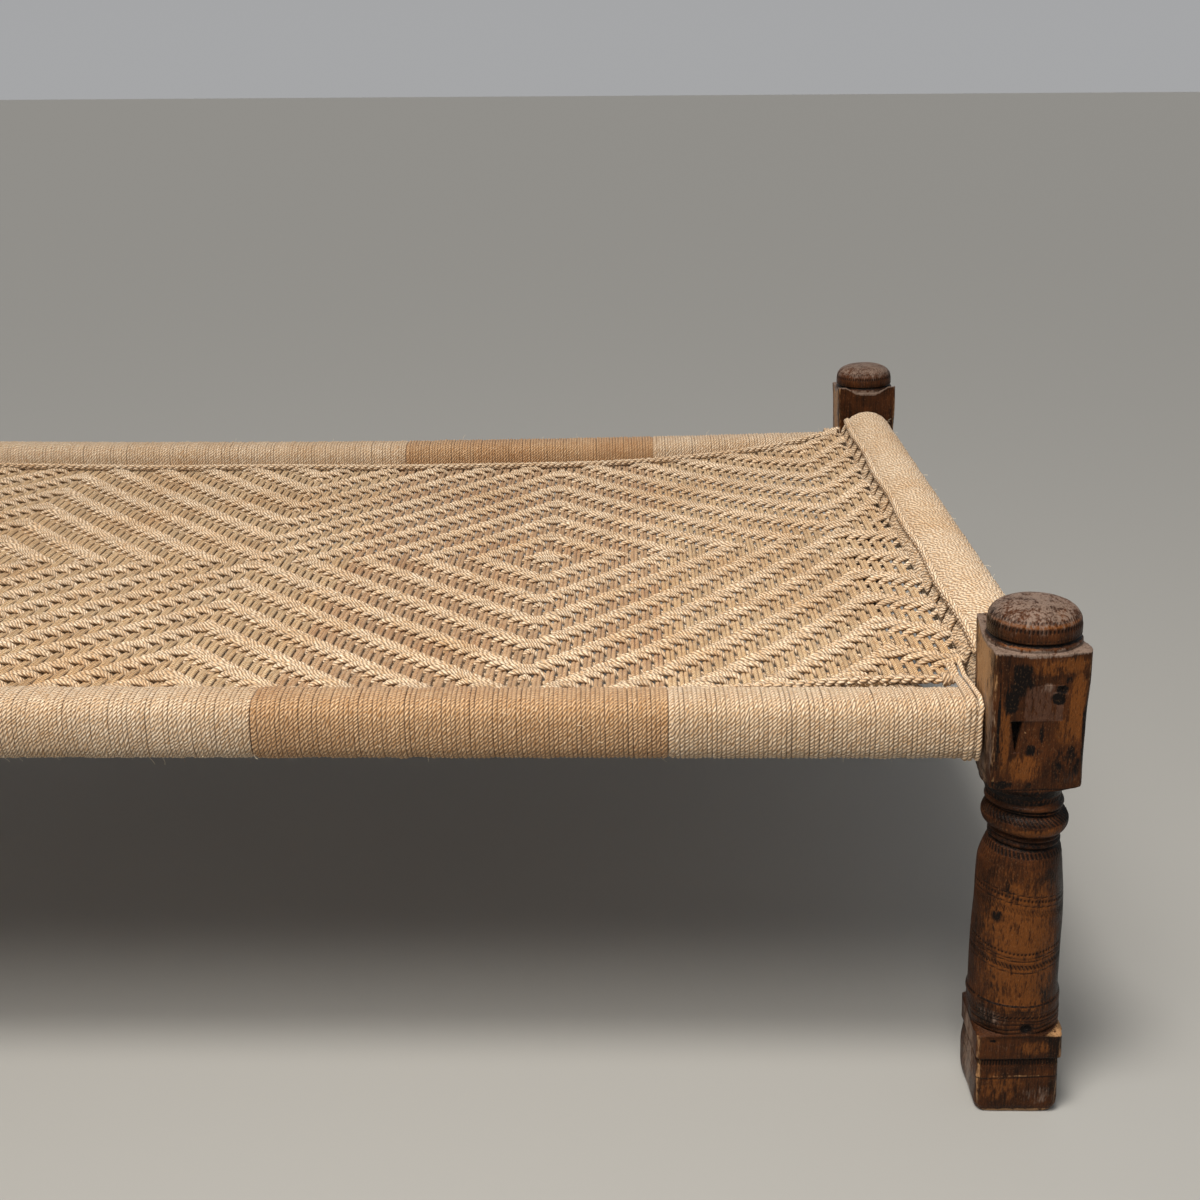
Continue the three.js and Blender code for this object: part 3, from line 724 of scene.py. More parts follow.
@dataclass
class Finishes:
    """Every material of the bed, built once."""

    # Lengthwise and binding twine: the palest batch, straw with a faint pink
    pale: bpy.types.Material = field(default_factory=CordFinish(
        "Jute twine, pale straw", light="#f6e4ca", deep="#cba880", groove="#563d29", stain="#e6d2b4",
    ).material)
    # Crosswise twine: the same jute, painted a little darker and more golden as painted shade, for cords that
    # lie lower between the floats
    golden: bpy.types.Material = field(default_factory=CordFinish(
        "Jute twine, golden straw", light="#f1d7ae", deep="#c49b6a", groove="#523820", stain="#e4c8a0",
    ).material)
    # The darker batch, a warm nut brown
    brown: bpy.types.Material = field(default_factory=CordFinish(
        "Jute twine, nut brown", light="#e4c29a", deep="#b58859", groove="#4a311d", stain="#dcbc96",
    ).material)
    # The lacing and the edge rope: the same jute laid thicker, so its strands slant longer
    laid: bpy.types.Material = field(default_factory=CordFinish(
        "Laid jute cord, straw", light="#ecd2a8", deep="#c49c6c", groove="#644729", stain="#e0c49c",
        ply_pitch=0.006, drift_turns=0.5,
    ).material)
    # Stray fibres, which catch the light as a pale fuzz
    fibre: bpy.types.Material = field(default_factory=FibreFinish(
        "Loose jute fibre", light="#f6e6c8", deep="#7c5c3c",
    ).material)
    # The legs: near black in the hollows, orange brown where hands have polished them
    leg: bpy.types.Material = field(default_factory=WoodFinish(
        "Old turned hardwood, waxed and smoked", warm="#4b2912", dark="#160c07", glow="#6b3e1a",
        wear="#ab8259", end="#503629", dust="#7c695d", soot="#0d0908", fleck="#8c6a4a",
    ).material)
    # The rails under their cord: dressed with an adze and never waxed, so pale and dull
    rail: bpy.types.Material = field(default_factory=WoodFinish(
        "Dressed pole, dry hardwood", warm="#9a7450", dark="#6a4a32", glow="#a67c50", wear="#b79468",
        end="#8a6a4c", dust="#a08c78", soot="#3a2a20", fleck="#b09878", roughness=0.7,
    ).material)
    # The wedges, black with the dirt of their slots
    wedge: bpy.types.Material = field(default_factory=WoodFinish(
        "Blackened hardwood wedge", warm="#3c2820", dark="#17100d", glow="#4a2c1c", wear="#5a4030",
        end="#3a2c26", dust="#4a3e36", soot="#0c0806", fleck="#4c3c32", roughness=0.6,
    ).material)


# Where things run


@dataclass
class Bed:
    """The sizes that the pieces share, and the lines that they follow."""

    half_x: float = 0.8775
    half_y: float = 0.5
    leg_half: float = 0.0376
    leg_gap: float = 0.0015
    side_half: float = 0.0215
    side_inset: float = 0.012
    front_level: float = 0.341
    back_level: float = 0.332
    back_bow: float = 0.016
    back_sag: float = 0.009
    end_radius: float = 0.0295
    end_level: float = 0.359
    cord_radius: float = 0.0021
    gap: float = 0.0003
    brown_near: float = 0.288
    brown_far: float = 0.624

    @property
    def reach_x(self) -> float:
        """Half the side rails' length between the legs."""
        return self.half_x - self.leg_half - self.leg_gap

    @property
    def reach_y(self) -> float:
        """Half the end rails' length between the legs."""
        return self.half_y - self.leg_half - self.leg_gap

    @property
    def bound_half(self) -> float:
        """Half the side rails' width with their binding."""
        return self.side_half + self.gap + 2 * self.cord_radius

    @property
    def brown_run(self) -> tuple[float, float]:
        """The x where the brown batch starts and the x where it stops."""
        return self.half_x - self.brown_far, self.half_x - self.brown_near

    def side_run(self, x: Numbers, back: bool) -> tuple[Numbers, Numbers]:
        """Gives a side rail's axis.

        Args:
            x: Places along the bed.
            back: The back rail, which bows inward and sags, or the front one.

        Returns:
            The axis's y and z at each place.
        """
        bend = (1 - (x / self.reach_x) ** 2) if back else 0 * x
        y = self.half_y - self.side_inset - self.back_bow * bend
        level = self.back_level if back else self.front_level
        return (y if back else -y), level - self.back_sag * bend


@dataclass
class MatShape:
    """Where the mat hangs in the frame, and the grid of its figure."""

    bed: Bed
    end_from_leg: float = 0.039
    open_from_leg: float = 1.417
    diamond_from_leg: float = 0.41
    front_level: float = 0.346
    back_level: float = 0.326
    sag: float = 0.009
    end_level: float = 0.374
    open_level: float = 0.352
    end_reach: float = 0.13
    depth: float = 0.0055
    corner_cut: float = 0.026
    corner_slope: float = 1.1
    column_pitch: float = 0.0638 / 6
    row_pitch: float = 0.0738 / 6

    @property
    def end(self) -> float:
        """The x of the closed end."""
        return self.bed.half_x - self.end_from_leg

    @property
    def open_end(self) -> float:
        """The x of the open end."""
        return self.bed.half_x - self.open_from_leg

    @property
    def diamond_x(self) -> float:
        """The x of the diamond's centre."""
        return self.bed.half_x - self.diamond_from_leg

    @property
    def front(self) -> float:
        """The y of the front edge."""
        return -(self.bed.half_y - self.bed.side_inset) + self.bed.bound_half + self.bed.gap

    @property
    def bowed_back(self) -> float:
        """The y of the back edge where the back rail bows in furthest."""
        return self.back(np.zeros(1))[0]

    def back(self, x: Numbers) -> Numbers:
        """The y of the back edge at each x."""
        return self.bed.side_run(x, True)[0] - self.bed.bound_half - self.bed.gap

    def kept(self, x: Numbers, y: Numbers) -> Numbers:
        """Tells which places stay where the front corner is drawn in at the closed end."""
        return y > self.front + np.clip(x - self.end + self.corner_cut, 0, None) * self.corner_slope

    def across(self, x: Numbers, row: Numbers) -> Numbers:
        """Gives the y of each row of the figure, which follows the bowed back edge.

        Args:
            x: Places along the bed.
            row: Rows counted from the middle of the mat.

        Returns:
            The y of each.
        """
        share = (row * self.row_pitch - self.front) / (self.bowed_back - self.front)
        return self.front + share * (self.back(x) - self.front)

    def level(self, x: Numbers, y: Numbers) -> Numbers:
        """Gives the height of the middle of the mat, between its two sets of cords.

        Args:
            x: Places along the bed.
            y: Places across it.

        Returns:
            The z of each.
        """
        share = (y - self.front) / (self.back(x) - self.front)
        chord = self.front_level + (self.back_level - self.front_level) * share
        hang = self.sag * (1 - (2 * share - 1) ** 2)
        near_end = np.exp((x - self.end) / self.end_reach)
        near_open = np.exp((self.open_end - x) / self.end_reach)
        middle = chord - hang * (1 - near_end) * (1 - near_open)
        top = middle + (self.end_level - middle) * near_end + (self.open_level - middle) * near_open
        return top - self.depth


# The mat


@dataclass
class WovenMat:
    """The two crossing sets of cords, each in pairs, that make the concentric diamonds."""

    shape: MatShape
    weave: bpy.types.NodeTree
    cord: CordLay = CordLay(radius=0.00228, sides=5, wander=0.0011, wander_scale=38.0, seed=11)
    steps_to_unit: int = 3
    cross_unit_step: float = 1.0
    repeat: float = 6.0
    turn: float = 30.0
    lift: float = 0.0032
    arch: float = 0.0014
    cross_lift: float = -0.0009
    crossing: float = 0.55
    pair_half: float = 0.00215
    edge_units: float = 0.3
    rows_to_piece: int = 19
    tuck: float = 0.012
    tuck_run: float = 0.08
    climb_degrees: tuple[float, float] = (171.0, 143.0)
    climb_steps: int = 7

    def units(self, low: float, high: float, pitch: float) -> Numbers:
        """Numbers the pairs of cords that fit between two edges of the mat."""
        first, last = math.ceil(low / pitch + self.edge_units), math.floor(high / pitch - self.edge_units)
        return np.arange(first, last + 1)

    def lay_set(
        self, name: str, guides: Guides, lift: float, arch: float, across: tuple,
        material: bpy.types.Material, slot: Slot,
    ) -> None:
        """Weaves one group of cords and places it.

        Args:
            name: The piece's name.
            guides: The cords' lines.
            lift: How far the group rises where the lengthwise cords float.
            arch: How far its floats arch above that.
            across: The direction across its cords.
            material: The cords' material.
            slot: The record's material slot.
        """
        figure = {
            "Lift": lift, "Arch": arch, "Crossing": self.crossing, "Pair Gap": self.pair_half,
            "Across": across, "Figure Repeat": self.repeat, "Units To Turn": self.turn,
        }
        guides.lay(name, self.weave, self.cord.inputs(material) | figure, slot, "woven_mat")

    def build_lengthwise(self, finishes: Finishes) -> None:
        """Weaves the cords that run along the bed, in pieces from the front to the back.

        Args:
            finishes: The bed's materials.
        """
        shape, bed = self.shape, self.shape.bed
        rng = np.random.default_rng(self.cord.seed)
        rows = self.units(shape.front, shape.bowed_back, shape.row_pitch)
        count = int((shape.end - shape.open_end) / shape.column_pitch * self.steps_to_unit)
        x = np.linspace(shape.open_end, shape.end, count)
        column = (x - shape.diamond_x) / shape.column_pitch
        # Past the closed end the cords climb the flank of the bound rail and tuck under its braid
        climb = np.radians(np.linspace(*self.climb_degrees, self.climb_steps))
        orbit = bed.end_radius + bed.gap + 2 * bed.cord_radius + self.cord.radius
        climb_z = bed.end_level + orbit * np.sin(climb) - self.lift - self.arch
        whole_x = np.concatenate([x, bed.half_x + orbit * np.cos(climb)])
        for number, group in enumerate(np.array_split(rows, math.ceil(len(rows) / self.rows_to_piece)), 1):
            guides = Guides()
            for row in group:
                # A place at the crest of a float, so that the climbing part stays on top
                crest = 2 * self.turn - (self.repeat * round((column[-1] + row) / self.repeat) + 1 - abs(row))
                whole_column = np.concatenate([column, np.full(self.climb_steps, float(crest))])
                y = shape.across(whole_x, np.full(len(whole_x), float(row)))
                z = np.concatenate([shape.level(x, y[:count]), climb_z])
                if row == rows[0]:
                    # The first pair dips under the front braid as it nears the corner
                    near = np.clip((whole_x - shape.end + shape.corner_cut) / self.tuck_run + 1, 0, 1)
                    z -= self.tuck * near**2
                kept = shape.kept(whole_x, y)
                for side in (-1, 1):
                    guides.add(
                        np.stack([whole_x, y, z], 1), kept,
                        column=whole_column, row=row, side=side, cord_tone=rng.random(),
                    )
            self.lay_set(
                f"mat_lengthwise_{number}", guides, self.lift, self.arch, (0.0, 1.0, 0.0),
                finishes.pale, Slot.PALE_CORD,
            )

    def build_crosswise(self, finishes: Finishes) -> None:
        """Weaves the cords that run across the bed, with the brown batch between the pale ones.

        Args:
            finishes: The bed's materials.
        """
        shape = self.shape
        rng = np.random.default_rng(self.cord.seed + 1)
        columns = self.units(
            shape.open_end - shape.diamond_x, shape.end - shape.diamond_x, shape.column_pitch
        )
        at = shape.diamond_x + columns * shape.column_pitch
        brown_from, brown_to = shape.bed.brown_run
        brown = (at > brown_from) & (at < brown_to)
        left = at < shape.diamond_x
        rows = np.array([shape.front, shape.bowed_back]) / shape.row_pitch
        count = int((rows[1] - rows[0]) / self.cross_unit_step)
        row = np.linspace(*rows, count)
        for name, chosen, material, slot in (
            ("left", left & ~brown, finishes.golden, Slot.PALE_CORD),
            ("brown", brown, finishes.brown, Slot.BROWN_CORD),
            ("right", ~left & ~brown, finishes.golden, Slot.PALE_CORD),
        ):
            guides = Guides()
            for column in columns[chosen]:
                x = np.full(count, shape.diamond_x + column * shape.column_pitch)
                y = shape.across(x, row)
                for side in (-1, 1):
                    guides.add(
                        np.stack([x, y, shape.level(x, y)], 1), shape.kept(x, y),
                        column=column, row=row, side=side, cord_tone=rng.random(),
                    )
            self.lay_set(
                f"mat_crosswise_{name}", guides, self.cross_lift, 0.0, (1.0, 0.0, 0.0), material, slot
            )


# Bindings


@dataclass
class Binding:
    """Cord wound round a rail, turn beside turn."""

    bed: Bed
    cords: bpy.types.NodeTree
    # A turn is pressed between its neighbours, so it is a little slimmer than the cord
    cord: CordLay = CordLay(radius=0.001953, sides=7, wander=0.0006, wander_scale=120.0, seed=5)
    points_to_turn: int = 20
    pitch: float = 0.00372
    side_padding: float = 0.0012
    side_drop: float = 0.0016
    end_sink: float = 0.0007
    side_squareness: float = 3.2
    end_squareness: float = 2.0
    slip: float = 0.00025
    proud: float = 0.0003
    tone_low: float = 0.3
    tone_spread: float = 0.4
    tone_step: float = 0.5

    def wind(
        self, name: str, run: tuple[float, float], half: float, squareness: float, path: Callable,
        material: bpy.types.Material, slot: Slot,
    ) -> None:
        """Winds one stretch.

        Args:
            name: The CAD node that the stretch replaces.
            run: Where it starts and stops along the rail.
            half: Half the width of the cord's centre line.
            squareness: The power of the section's rounded square, 2 for a round rail.
            path: Gives x, y and z for a place along the rail and two offsets across it.
            material: The cord's material.
            slot: The record's material slot.
        """
        rng = np.random.default_rng(self.cord.seed + sum(name.encode()))
        length = run[1] - run[0] - 2 * self.bed.cord_radius
        turns = round(length / self.pitch)
        # One more whole turn at either end closes the stretch against its neighbour
        count = (turns + 2) * self.points_to_turn + 1
        turn = np.arange(count) / self.points_to_turn - 1
        slip = np.interp(turn, np.arange(turns + 1), rng.normal(0, self.slip, turns + 1))
        lift = np.interp(turn, np.arange(turns + 1), rng.normal(0, self.proud, turns + 1))
        lift -= self.end_sink * ((turn < 0) | (turn > turns))
        at = run[0] + self.bed.cord_radius + length * (np.clip(turn, 0, turns) / turns) + slip
        first, second = (
            (half + lift) * np.sign(wave) * np.abs(wave) ** (2 / squareness)
            for wave in (np.cos(2 * np.pi * turn), np.sin(2 * np.pi * turn))
        )
        places = np.arange(0, turns + 2, self.tone_step)
        tone = self.tone_low + self.tone_spread * np.interp(turn, places, rng.random(len(places)))
        guides = Guides()
        guides.add(np.stack(path(at, first, second), 1), cord_tone=tone)
        guides.lay(name + "_cord", self.cords, self.cord.inputs(material), slot, name)

    def round_side(self, back: bool, at: Numbers, across: Numbers, up: Numbers) -> tuple:
        """Follows a side rail."""
        y, z = self.bed.side_run(at, back)
        return at, y + across, z + up - self.side_drop

    def round_end(self, at: Numbers, across: Numbers, up: Numbers) -> tuple:
        """Follows the end rail."""
        return self.bed.half_x + across, at, self.bed.end_level + up

    def build(self, finishes: Finishes) -> None:
        """Binds both side rails in a pale, a brown and a pale stretch, and the closed end's rail.

        Args:
            finishes: The bed's materials.
        """
        bed = self.bed
        brown_from, brown_to = bed.brown_run
        half = bed.side_half + bed.gap + bed.cord_radius + self.side_padding
        for side, back in (("front", False), ("back", True)):
            for stretch, run, material, slot in (
                ("left", (-bed.reach_x, brown_from), finishes.pale, Slot.PALE_CORD),
                ("brown", (brown_from, brown_to), finishes.brown, Slot.BROWN_CORD),
                ("right", (brown_to, bed.reach_x), finishes.pale, Slot.PALE_CORD),
            ):
                name = f"binding_{side}_{stretch}"
                path = partial(self.round_side, back)
                self.wind(name, run, half, self.side_squareness, path, material, slot)
        self.wind(
            "binding_end_right", (-bed.reach_y, bed.reach_y), bed.end_radius + bed.gap + bed.cord_radius,
            self.end_squareness, self.round_end, finishes.pale, Slot.PALE_CORD,
        )


# Selvedges, edge rope and lacing


def twine(path: Numbers, orbit: float, lay: float) -> list[Numbers]:
    """Gives the centre lines of two cords twined round each other.

    Args:
        path: Points of the braid's own line, close together.
        orbit: How far each cord's centre is from that line.
        lay: The length of one whole turn.

    Returns:
        The points of the two cords.
    """
    along = np.gradient(path, axis=0)
    along /= np.linalg.norm(along, axis=1, keepdims=True)
    sideways = np.cross(along, (0.0, 0.0, 1.0))
    sideways /= np.linalg.norm(sideways, axis=1, keepdims=True)
    upward = np.cross(sideways, along)
    length = np.concatenate([[0], np.cumsum(np.linalg.norm(np.diff(path, axis=0), axis=1))])
    angles = [(2 * np.pi * length / lay + start)[:, None] for start in (0.0, np.pi)]
    return [path + orbit * (np.cos(angle) * sideways + np.sin(angle) * upward) for angle in angles]


@dataclass
class Selvedges:
    """Cords twined in pairs along the mat's front, back and closed end."""

    shape: MatShape
    cords: bpy.types.NodeTree
    cord: CordLay = CordLay(radius=0.0021, sides=8, wander=0.0006, wander_scale=60.0, seed=23)
    orbit: float = 0.0021
    lay: float = 0.018
    step: float = 0.0025
    front_inset: float = 0.0068
    back_inset: float = 0.03
    corner: float = 0.024
    front_corner: float = 0.016
    seat: float = 0.0075
    front_rise: float = 0.0018
    front_fall: float = 0.0085
    front_draw: float = 0.006
    front_run: float = 0.1
    knot_turns: float = 3.4
    knot_length: float = 0.011
    knot_back_share: float = 0.6
    knot_points: int = 70
    knot_closing: float = math.radians(80)
    roll_angle: float = math.radians(141)
    roll_margin: float = 0.0042
    waver: float = 0.0035
    waves: tuple[float, float] = (21.0, 9.0)
    end_waver: float = 0.0014
    end_waves: float = 30.0

    def knot(self, tip: Numbers) -> Numbers:
        """Gives the turns of cord that close a braid's end, drawn in to a knob.

        Args:
            tip: Where the braid ends.

        Returns:
            The points of the knot's cord.
        """
        share = np.linspace(0, 1, self.knot_points)
        angle = 2 * np.pi * self.knot_turns * share
        reach = (self.orbit + self.cord.radius) * np.cos(share * self.knot_closing)
        along = (share - self.knot_back_share) * self.knot_length
        return tip + np.stack([along, reach * np.cos(angle), reach * np.sin(angle)], 1)

    def lay_braid(
        self, name: str, path: Numbers, material: bpy.types.Material, knotted: bool = False
    ) -> None:
        """Twines one braid along a path and places it.

        Args:
            name: The CAD node that the braid replaces.
            path: Points of its line.
            material: Its cord's material.
            knotted: Whether its far end is closed with a knot.
        """
        rng = np.random.default_rng(self.cord.seed)
        guides = Guides()
        for line in twine(path, self.orbit, self.lay) + ([self.knot(path[-1])] if knotted else []):
            guides.add(line, cord_tone=rng.random())
        guides.lay(name + "_cords", self.cords, self.cord.inputs(material), Slot.PALE_CORD, name)

    def build(self, finishes: Finishes) -> None:
        """Lays the three braids.

        Args:
            finishes: The bed's materials.
        """
        shape, bed = self.shape, self.shape.bed
        for name, back in (("selvedge_front", False), ("selvedge_back", True)):
            corner = self.corner if back else self.front_corner
            x = np.arange(shape.open_end + 2 * self.orbit, shape.end - corner, self.step)
            if back:
                drift = self.waver * (np.sin(x * self.waves[0]) + np.sin(x * self.waves[1] + 1)) / 2
                edge = shape.back(x) - self.back_inset + drift
                z = shape.level(x, edge) + self.seat
            else:
                # The front braid comes down on to the bound rail at the corner
                near = np.clip((x - x[-1]) / self.front_run + 1, 0, 1) ** 2
                edge = shape.front + self.front_inset - self.front_draw * near
                z = shape.level(x, edge) + self.seat + self.front_rise - self.front_fall * near
            self.lay_braid(name, np.stack([x, edge, z], 1), finishes.pale, knotted=not back)
        reach = bed.end_radius + bed.gap + 2 * bed.cord_radius + self.roll_margin
        back_end = shape.back(np.full(1, shape.end))[0]
        y = np.arange(shape.front + self.corner, back_end - self.corner / 2, self.step)
        x = bed.half_x + reach * math.cos(self.roll_angle) + self.end_waver * np.sin(y * self.end_waves)
        z = np.full(len(y), bed.end_level + reach * math.sin(self.roll_angle))
        self.lay_braid("selvedge_end_right", np.stack([x, y, z], 1), finishes.pale)


@dataclass
class CornerLashing:
    """The last cords of the mat's corner, drawn slanting over the side rail beside the leg."""

    shape: MatShape
    cords: bpy.types.NodeTree
    cord: CordLay = CordLay(radius=0.0021, sides=8, wander=0.0012, wander_scale=40.0, seed=41)
    places: tuple[float, ...] = (0.0026, 0.0082, 0.0121)
    reach_in: float = 0.034
    slant: float = 0.005
    seat: float = 0.0004
    stray: float = 0.0004
    points: int = 60
    # On the mat: the shares of the slant and of the reach, and the height over the mat
    mat_stops: tuple = ((1.0, 1.0, -0.004), (0.8, 0.75, 0.001))
    # Over the rail: the shares of the slant and of the reach, then of the bound rail's half width,
    # outwards and up
    rail_stop_shares: tuple = (
        (0.42, 0.2, -1.0, 0.95), (0.2, 0.0, -0.6, 1.02), (0.05, 0.0, 0.6, 1.02), (0.0, 0.0, 0.93, 0.82),
        (0.0, 0.0, 1.0, 0.4), (0.0, 0.0, 1.0, -0.5), (0.0, 0.0, 0.86, -0.9), (0.0, 0.0, 0.4, -1.0),
    )

    def line(self, x: float, back: bool) -> Numbers:
        """Gives one cord's stops, from the mat over the side rail and down its outside.

        Args:
            x: The cord's place along the rail.
            back: At the back rail or at the front one.

        Returns:
            The x, y and z of each stop.
        """
        proud = self.shape.bed.bound_half + self.seat
        out = 1 if back else -1
        rail_y, rail_z = (float(value) for value in self.shape.bed.side_run(np.float64(x), back))
        edge = rail_y - out * (proud + self.reach_in)
        mat = float(self.shape.level(np.full(1, x - self.slant), np.full(1, edge))[0])
        mat += 2 * self.shape.bed.cord_radius
        return np.array([
            (x - self.slant * slant, rail_y - out * (proud + self.reach_in * reach), mat + over)
            for slant, reach, over in self.mat_stops
        ] + [
            (
                x - self.slant * slant, rail_y + out * (proud * away - self.reach_in * reach),
                rail_z + proud * up,
            )
            for slant, reach, away, up in self.rail_stop_shares
        ])

    def build(self, material: bpy.types.Material) -> None:
        """Lays the lashing at both corners of the closed end.

        Args:
            material: The cords' material.
        """
        bed = self.shape.bed
        rng = np.random.default_rng(self.cord.seed)
        for name, back in (("lashing_front_cords", False), ("lashing_back_cords", True)):
            lines = []
            for place_in in self.places:
                stops = self.line(bed.half_x - bed.leg_half - place_in, back)
                stops += rng.normal(0, self.stray, stops.shape) * (1, 0, 0)
                at = np.linspace(0, len(stops) - 1, self.points)
                lines.append(np.stack([np.interp(at, np.arange(len(stops)), axis) for axis in stops.T], 1))
            guides = Guides()
            for line in lines:
                guides.add(line, cord_tone=rng.random())
            guides.lay(name, self.cords, self.cord.inputs(material), Slot.PALE_CORD)


@dataclass
class LooseFibres:
    """Short stray fibres that stand off the cords, as on all jute."""

    tree: bpy.types.NodeTree
    length: float = 0.0065
    thickness: float = 0.00011
    seed: int = 53
    # For each kind of piece, how many stand on a square metre of its cord
    density: tuple = (
        ("binding_front_*_cord", 1500.0), ("binding_back_*_cord", 800.0), ("binding_end_*_cord", 1200.0),
        ("mat_*", 350.0),
    )

    def build(self, material: bpy.types.Material) -> None:
        """Raises fibres from every binding and from the mat.

        Args:
            material: The fibres' material.
        """
        for pattern, density in self.density:
            for source in [item for item in bpy.context.scene.objects if fnmatch(item.name, pattern)]:
                piece = object_from(source.data.copy())
                piece.name = piece.data.name = source.name + "_fibres"
                settle(piece, self.tree, {
                    "Density": density, "Length": self.length, "Thickness": self.thickness,
                    "Seed": self.seed, "Material": material,
                })
                place(piece, Slot.PALE_CORD)


@dataclass
class OpenEnd:
    """The edge rope and the lacing that pulls the mat to the rail of the open end."""

    shape: MatShape
    cords: bpy.types.NodeTree
    cord: CordLay = CordLay(radius=0.003, sides=10, wander=0.0015, wander_scale=25.0, seed=31)
    # Two of these cords twined make the rope
    rope_radius: float = 0.006
    rope_lay: float = 0.034
    rope_step: float = 0.003
    rope_drop: float = 0.0021
    rope_setback: float = 0.0127
    rope_margin: float = 0.034
    end_margin: float = 0.046
    loops: int = 15
    arc_steps: int = 12
    run_steps: int = 10
    hitch_turns: float = 2.0
    hitch_points: int = 49
    hitch_spacing: float = 1.02
    tones: tuple[float, float] = (0.35, 0.65)

    @property
    def rail(self) -> Numbers:
        """The x and z of the open end's rail."""
        return np.array([-self.shape.bed.half_x, self.shape.bed.end_level])

    @property
    def rope(self) -> Numbers:
        """The x and z of the edge rope."""
        top = self.shape.level(np.full(1, self.shape.open_end), np.zeros(1))[0]
        return np.array([self.shape.open_end - self.rope_setback, top - self.rope_drop])

    @property
    def rail_orbit(self) -> float:
        """How far the middle of a cord round the rail is from the rail's axis."""
        return self.shape.bed.end_radius + self.shape.bed.gap + self.cord.radius

    def loop_stops(self) -> Numbers:
        """Gives one turn of the lacing, round the rail and round the rope.

        Returns:
            The x and z of its points.
        """
        rope_orbit = self.rope_radius + self.cord.radius + self.shape.bed.gap
        angles = np.pi * np.arange(self.arc_steps + 1) / self.arc_steps
        round_rail, round_rope = (
            middle + orbit * np.stack([np.cos(angles + start), np.sin(angles + start)], 1)
            for middle, orbit, start in (
                (self.rail, self.rail_orbit, np.pi / 2), (self.rope, rope_orbit, -np.pi / 2),
            )
        )
        shares = (np.arange(1, self.run_steps) / self.run_steps)[:, None]
        under = round_rail[-1] * (1 - shares) + round_rope[0] * shares
        over = round_rope[-1] * (1 - shares) + round_rail[0] * shares
        return np.concatenate([round_rail, under, round_rope, over])

    def lay(self, node: str, lines: Sequence[Numbers], material: bpy.types.Material, slot: Slot) -> None:
        """Lays one piece of thicker cord and places it.

        Args:
            node: The CAD node that it replaces.
            lines: The points of each of its cords.
            material: The cords' material.
            slot: The record's material slot.
        """
        guides = Guides()
        for line, tone in zip(lines, self.tones):
            guides.add(line, cord_tone=tone)
        guides.lay(node + "_cord", self.cords, self.cord.inputs(material), slot, node)

    def build(self, material: bpy.types.Material) -> None:
        """Lays the rope, the lacing and its two hitches.

        Args:
            material: The cords' material.
        """
        inner = self.shape.bed.half_y - self.shape.bed.leg_half
        rope_x, rope_z = self.rope
        y = np.arange(-(inner - self.rope_margin), inner - self.rope_margin, self.rope_step)
        path = np.stack([np.full(len(y), rope_x), y, np.full(len(y), rope_z)], 1)
        self.lay("edge_rope", twine(path, self.rope_radius / 2, self.rope_lay), material, Slot.PALE_CORD)
        stops = self.loop_stops()
        total = self.loops * len(stops)
        run = 2 * (inner - self.end_margin)
        count = np.arange(total + 1)
        x, z = stops[count % len(stops)].T
        self.lay("lacing", [np.stack([x, run * count / total - run / 2, z], 1)], material, Slot.LACING_CORD)
        rail_x, rail_z = self.rail
        angle = 2 * np.pi * self.hitch_turns * np.linspace(0, 1, self.hitch_points)
        spread = self.cord.radius * self.hitch_spacing * (angle / np.pi - self.hitch_turns)
        x, z = rail_x + self.rail_orbit * np.cos(angle), rail_z + self.rail_orbit * np.sin(angle)
        for name, side in (("lacing_hitch_front", -1), ("lacing_hitch_back", 1)):
            y = side * (inner - self.end_margin / 2) + spread
            self.lay(name, [np.stack([x, y, z], 1)], material, Slot.LACING_CORD)


# Turned legs


@dataclass(frozen=True)
class NotchBand:
    """A band of notches cut round a leg, in millimetres, with its slope round the leg and its dirt.

    The tilt lifts it on the side toward the bed, and the dip lifts it on both sides.
    """

    low: float
    high: float
    depth: float
    slant: float = 0.0
    dirt: float = 0.9
    columns: int = 3
    tilt: float = 0.0
    dip: float = 0.0


@dataclass(frozen=True)
class Groove:
    """A line cut round a leg, in millimetres, that tilts and dips as a band of notches does."""

    height: float
    depth: float
    half: float
    tilt: float = 0.0
    dip: float = 0.0
    dirt: float = 0.85


@dataclass(frozen=True)
class Joint:
    """A mortise or slot with sharp walls in a leg's face, in millimetres from the face's middle.

    The tapers say how far each edge closes in from the top to the bottom.
    """

    face: int
    low: float
    high: float
    left: float
    right: float
    depth: float
    mark: str
    left_taper: float = 0.0
    right_taper: float = 0.0

    def turned(self, way: int) -> "Joint":
        """Gives the joint's place on a face that is mirrored or not.

        Args:
            way: Minus one for a mirrored face and one for another.

        Returns:
            The joint there.
        """
        if way > 0:
            return self
        return replace(
            self, left=-self.right, right=-self.left,
            left_taper=self.right_taper, right_taper=self.left_taper,
        )


def deepen(marks: dict[str, Numbers], key: str, values: Numbers) -> None:
    """Raises a mark to the given values where they are higher."""
    marks[key] = np.maximum(marks[key], values)


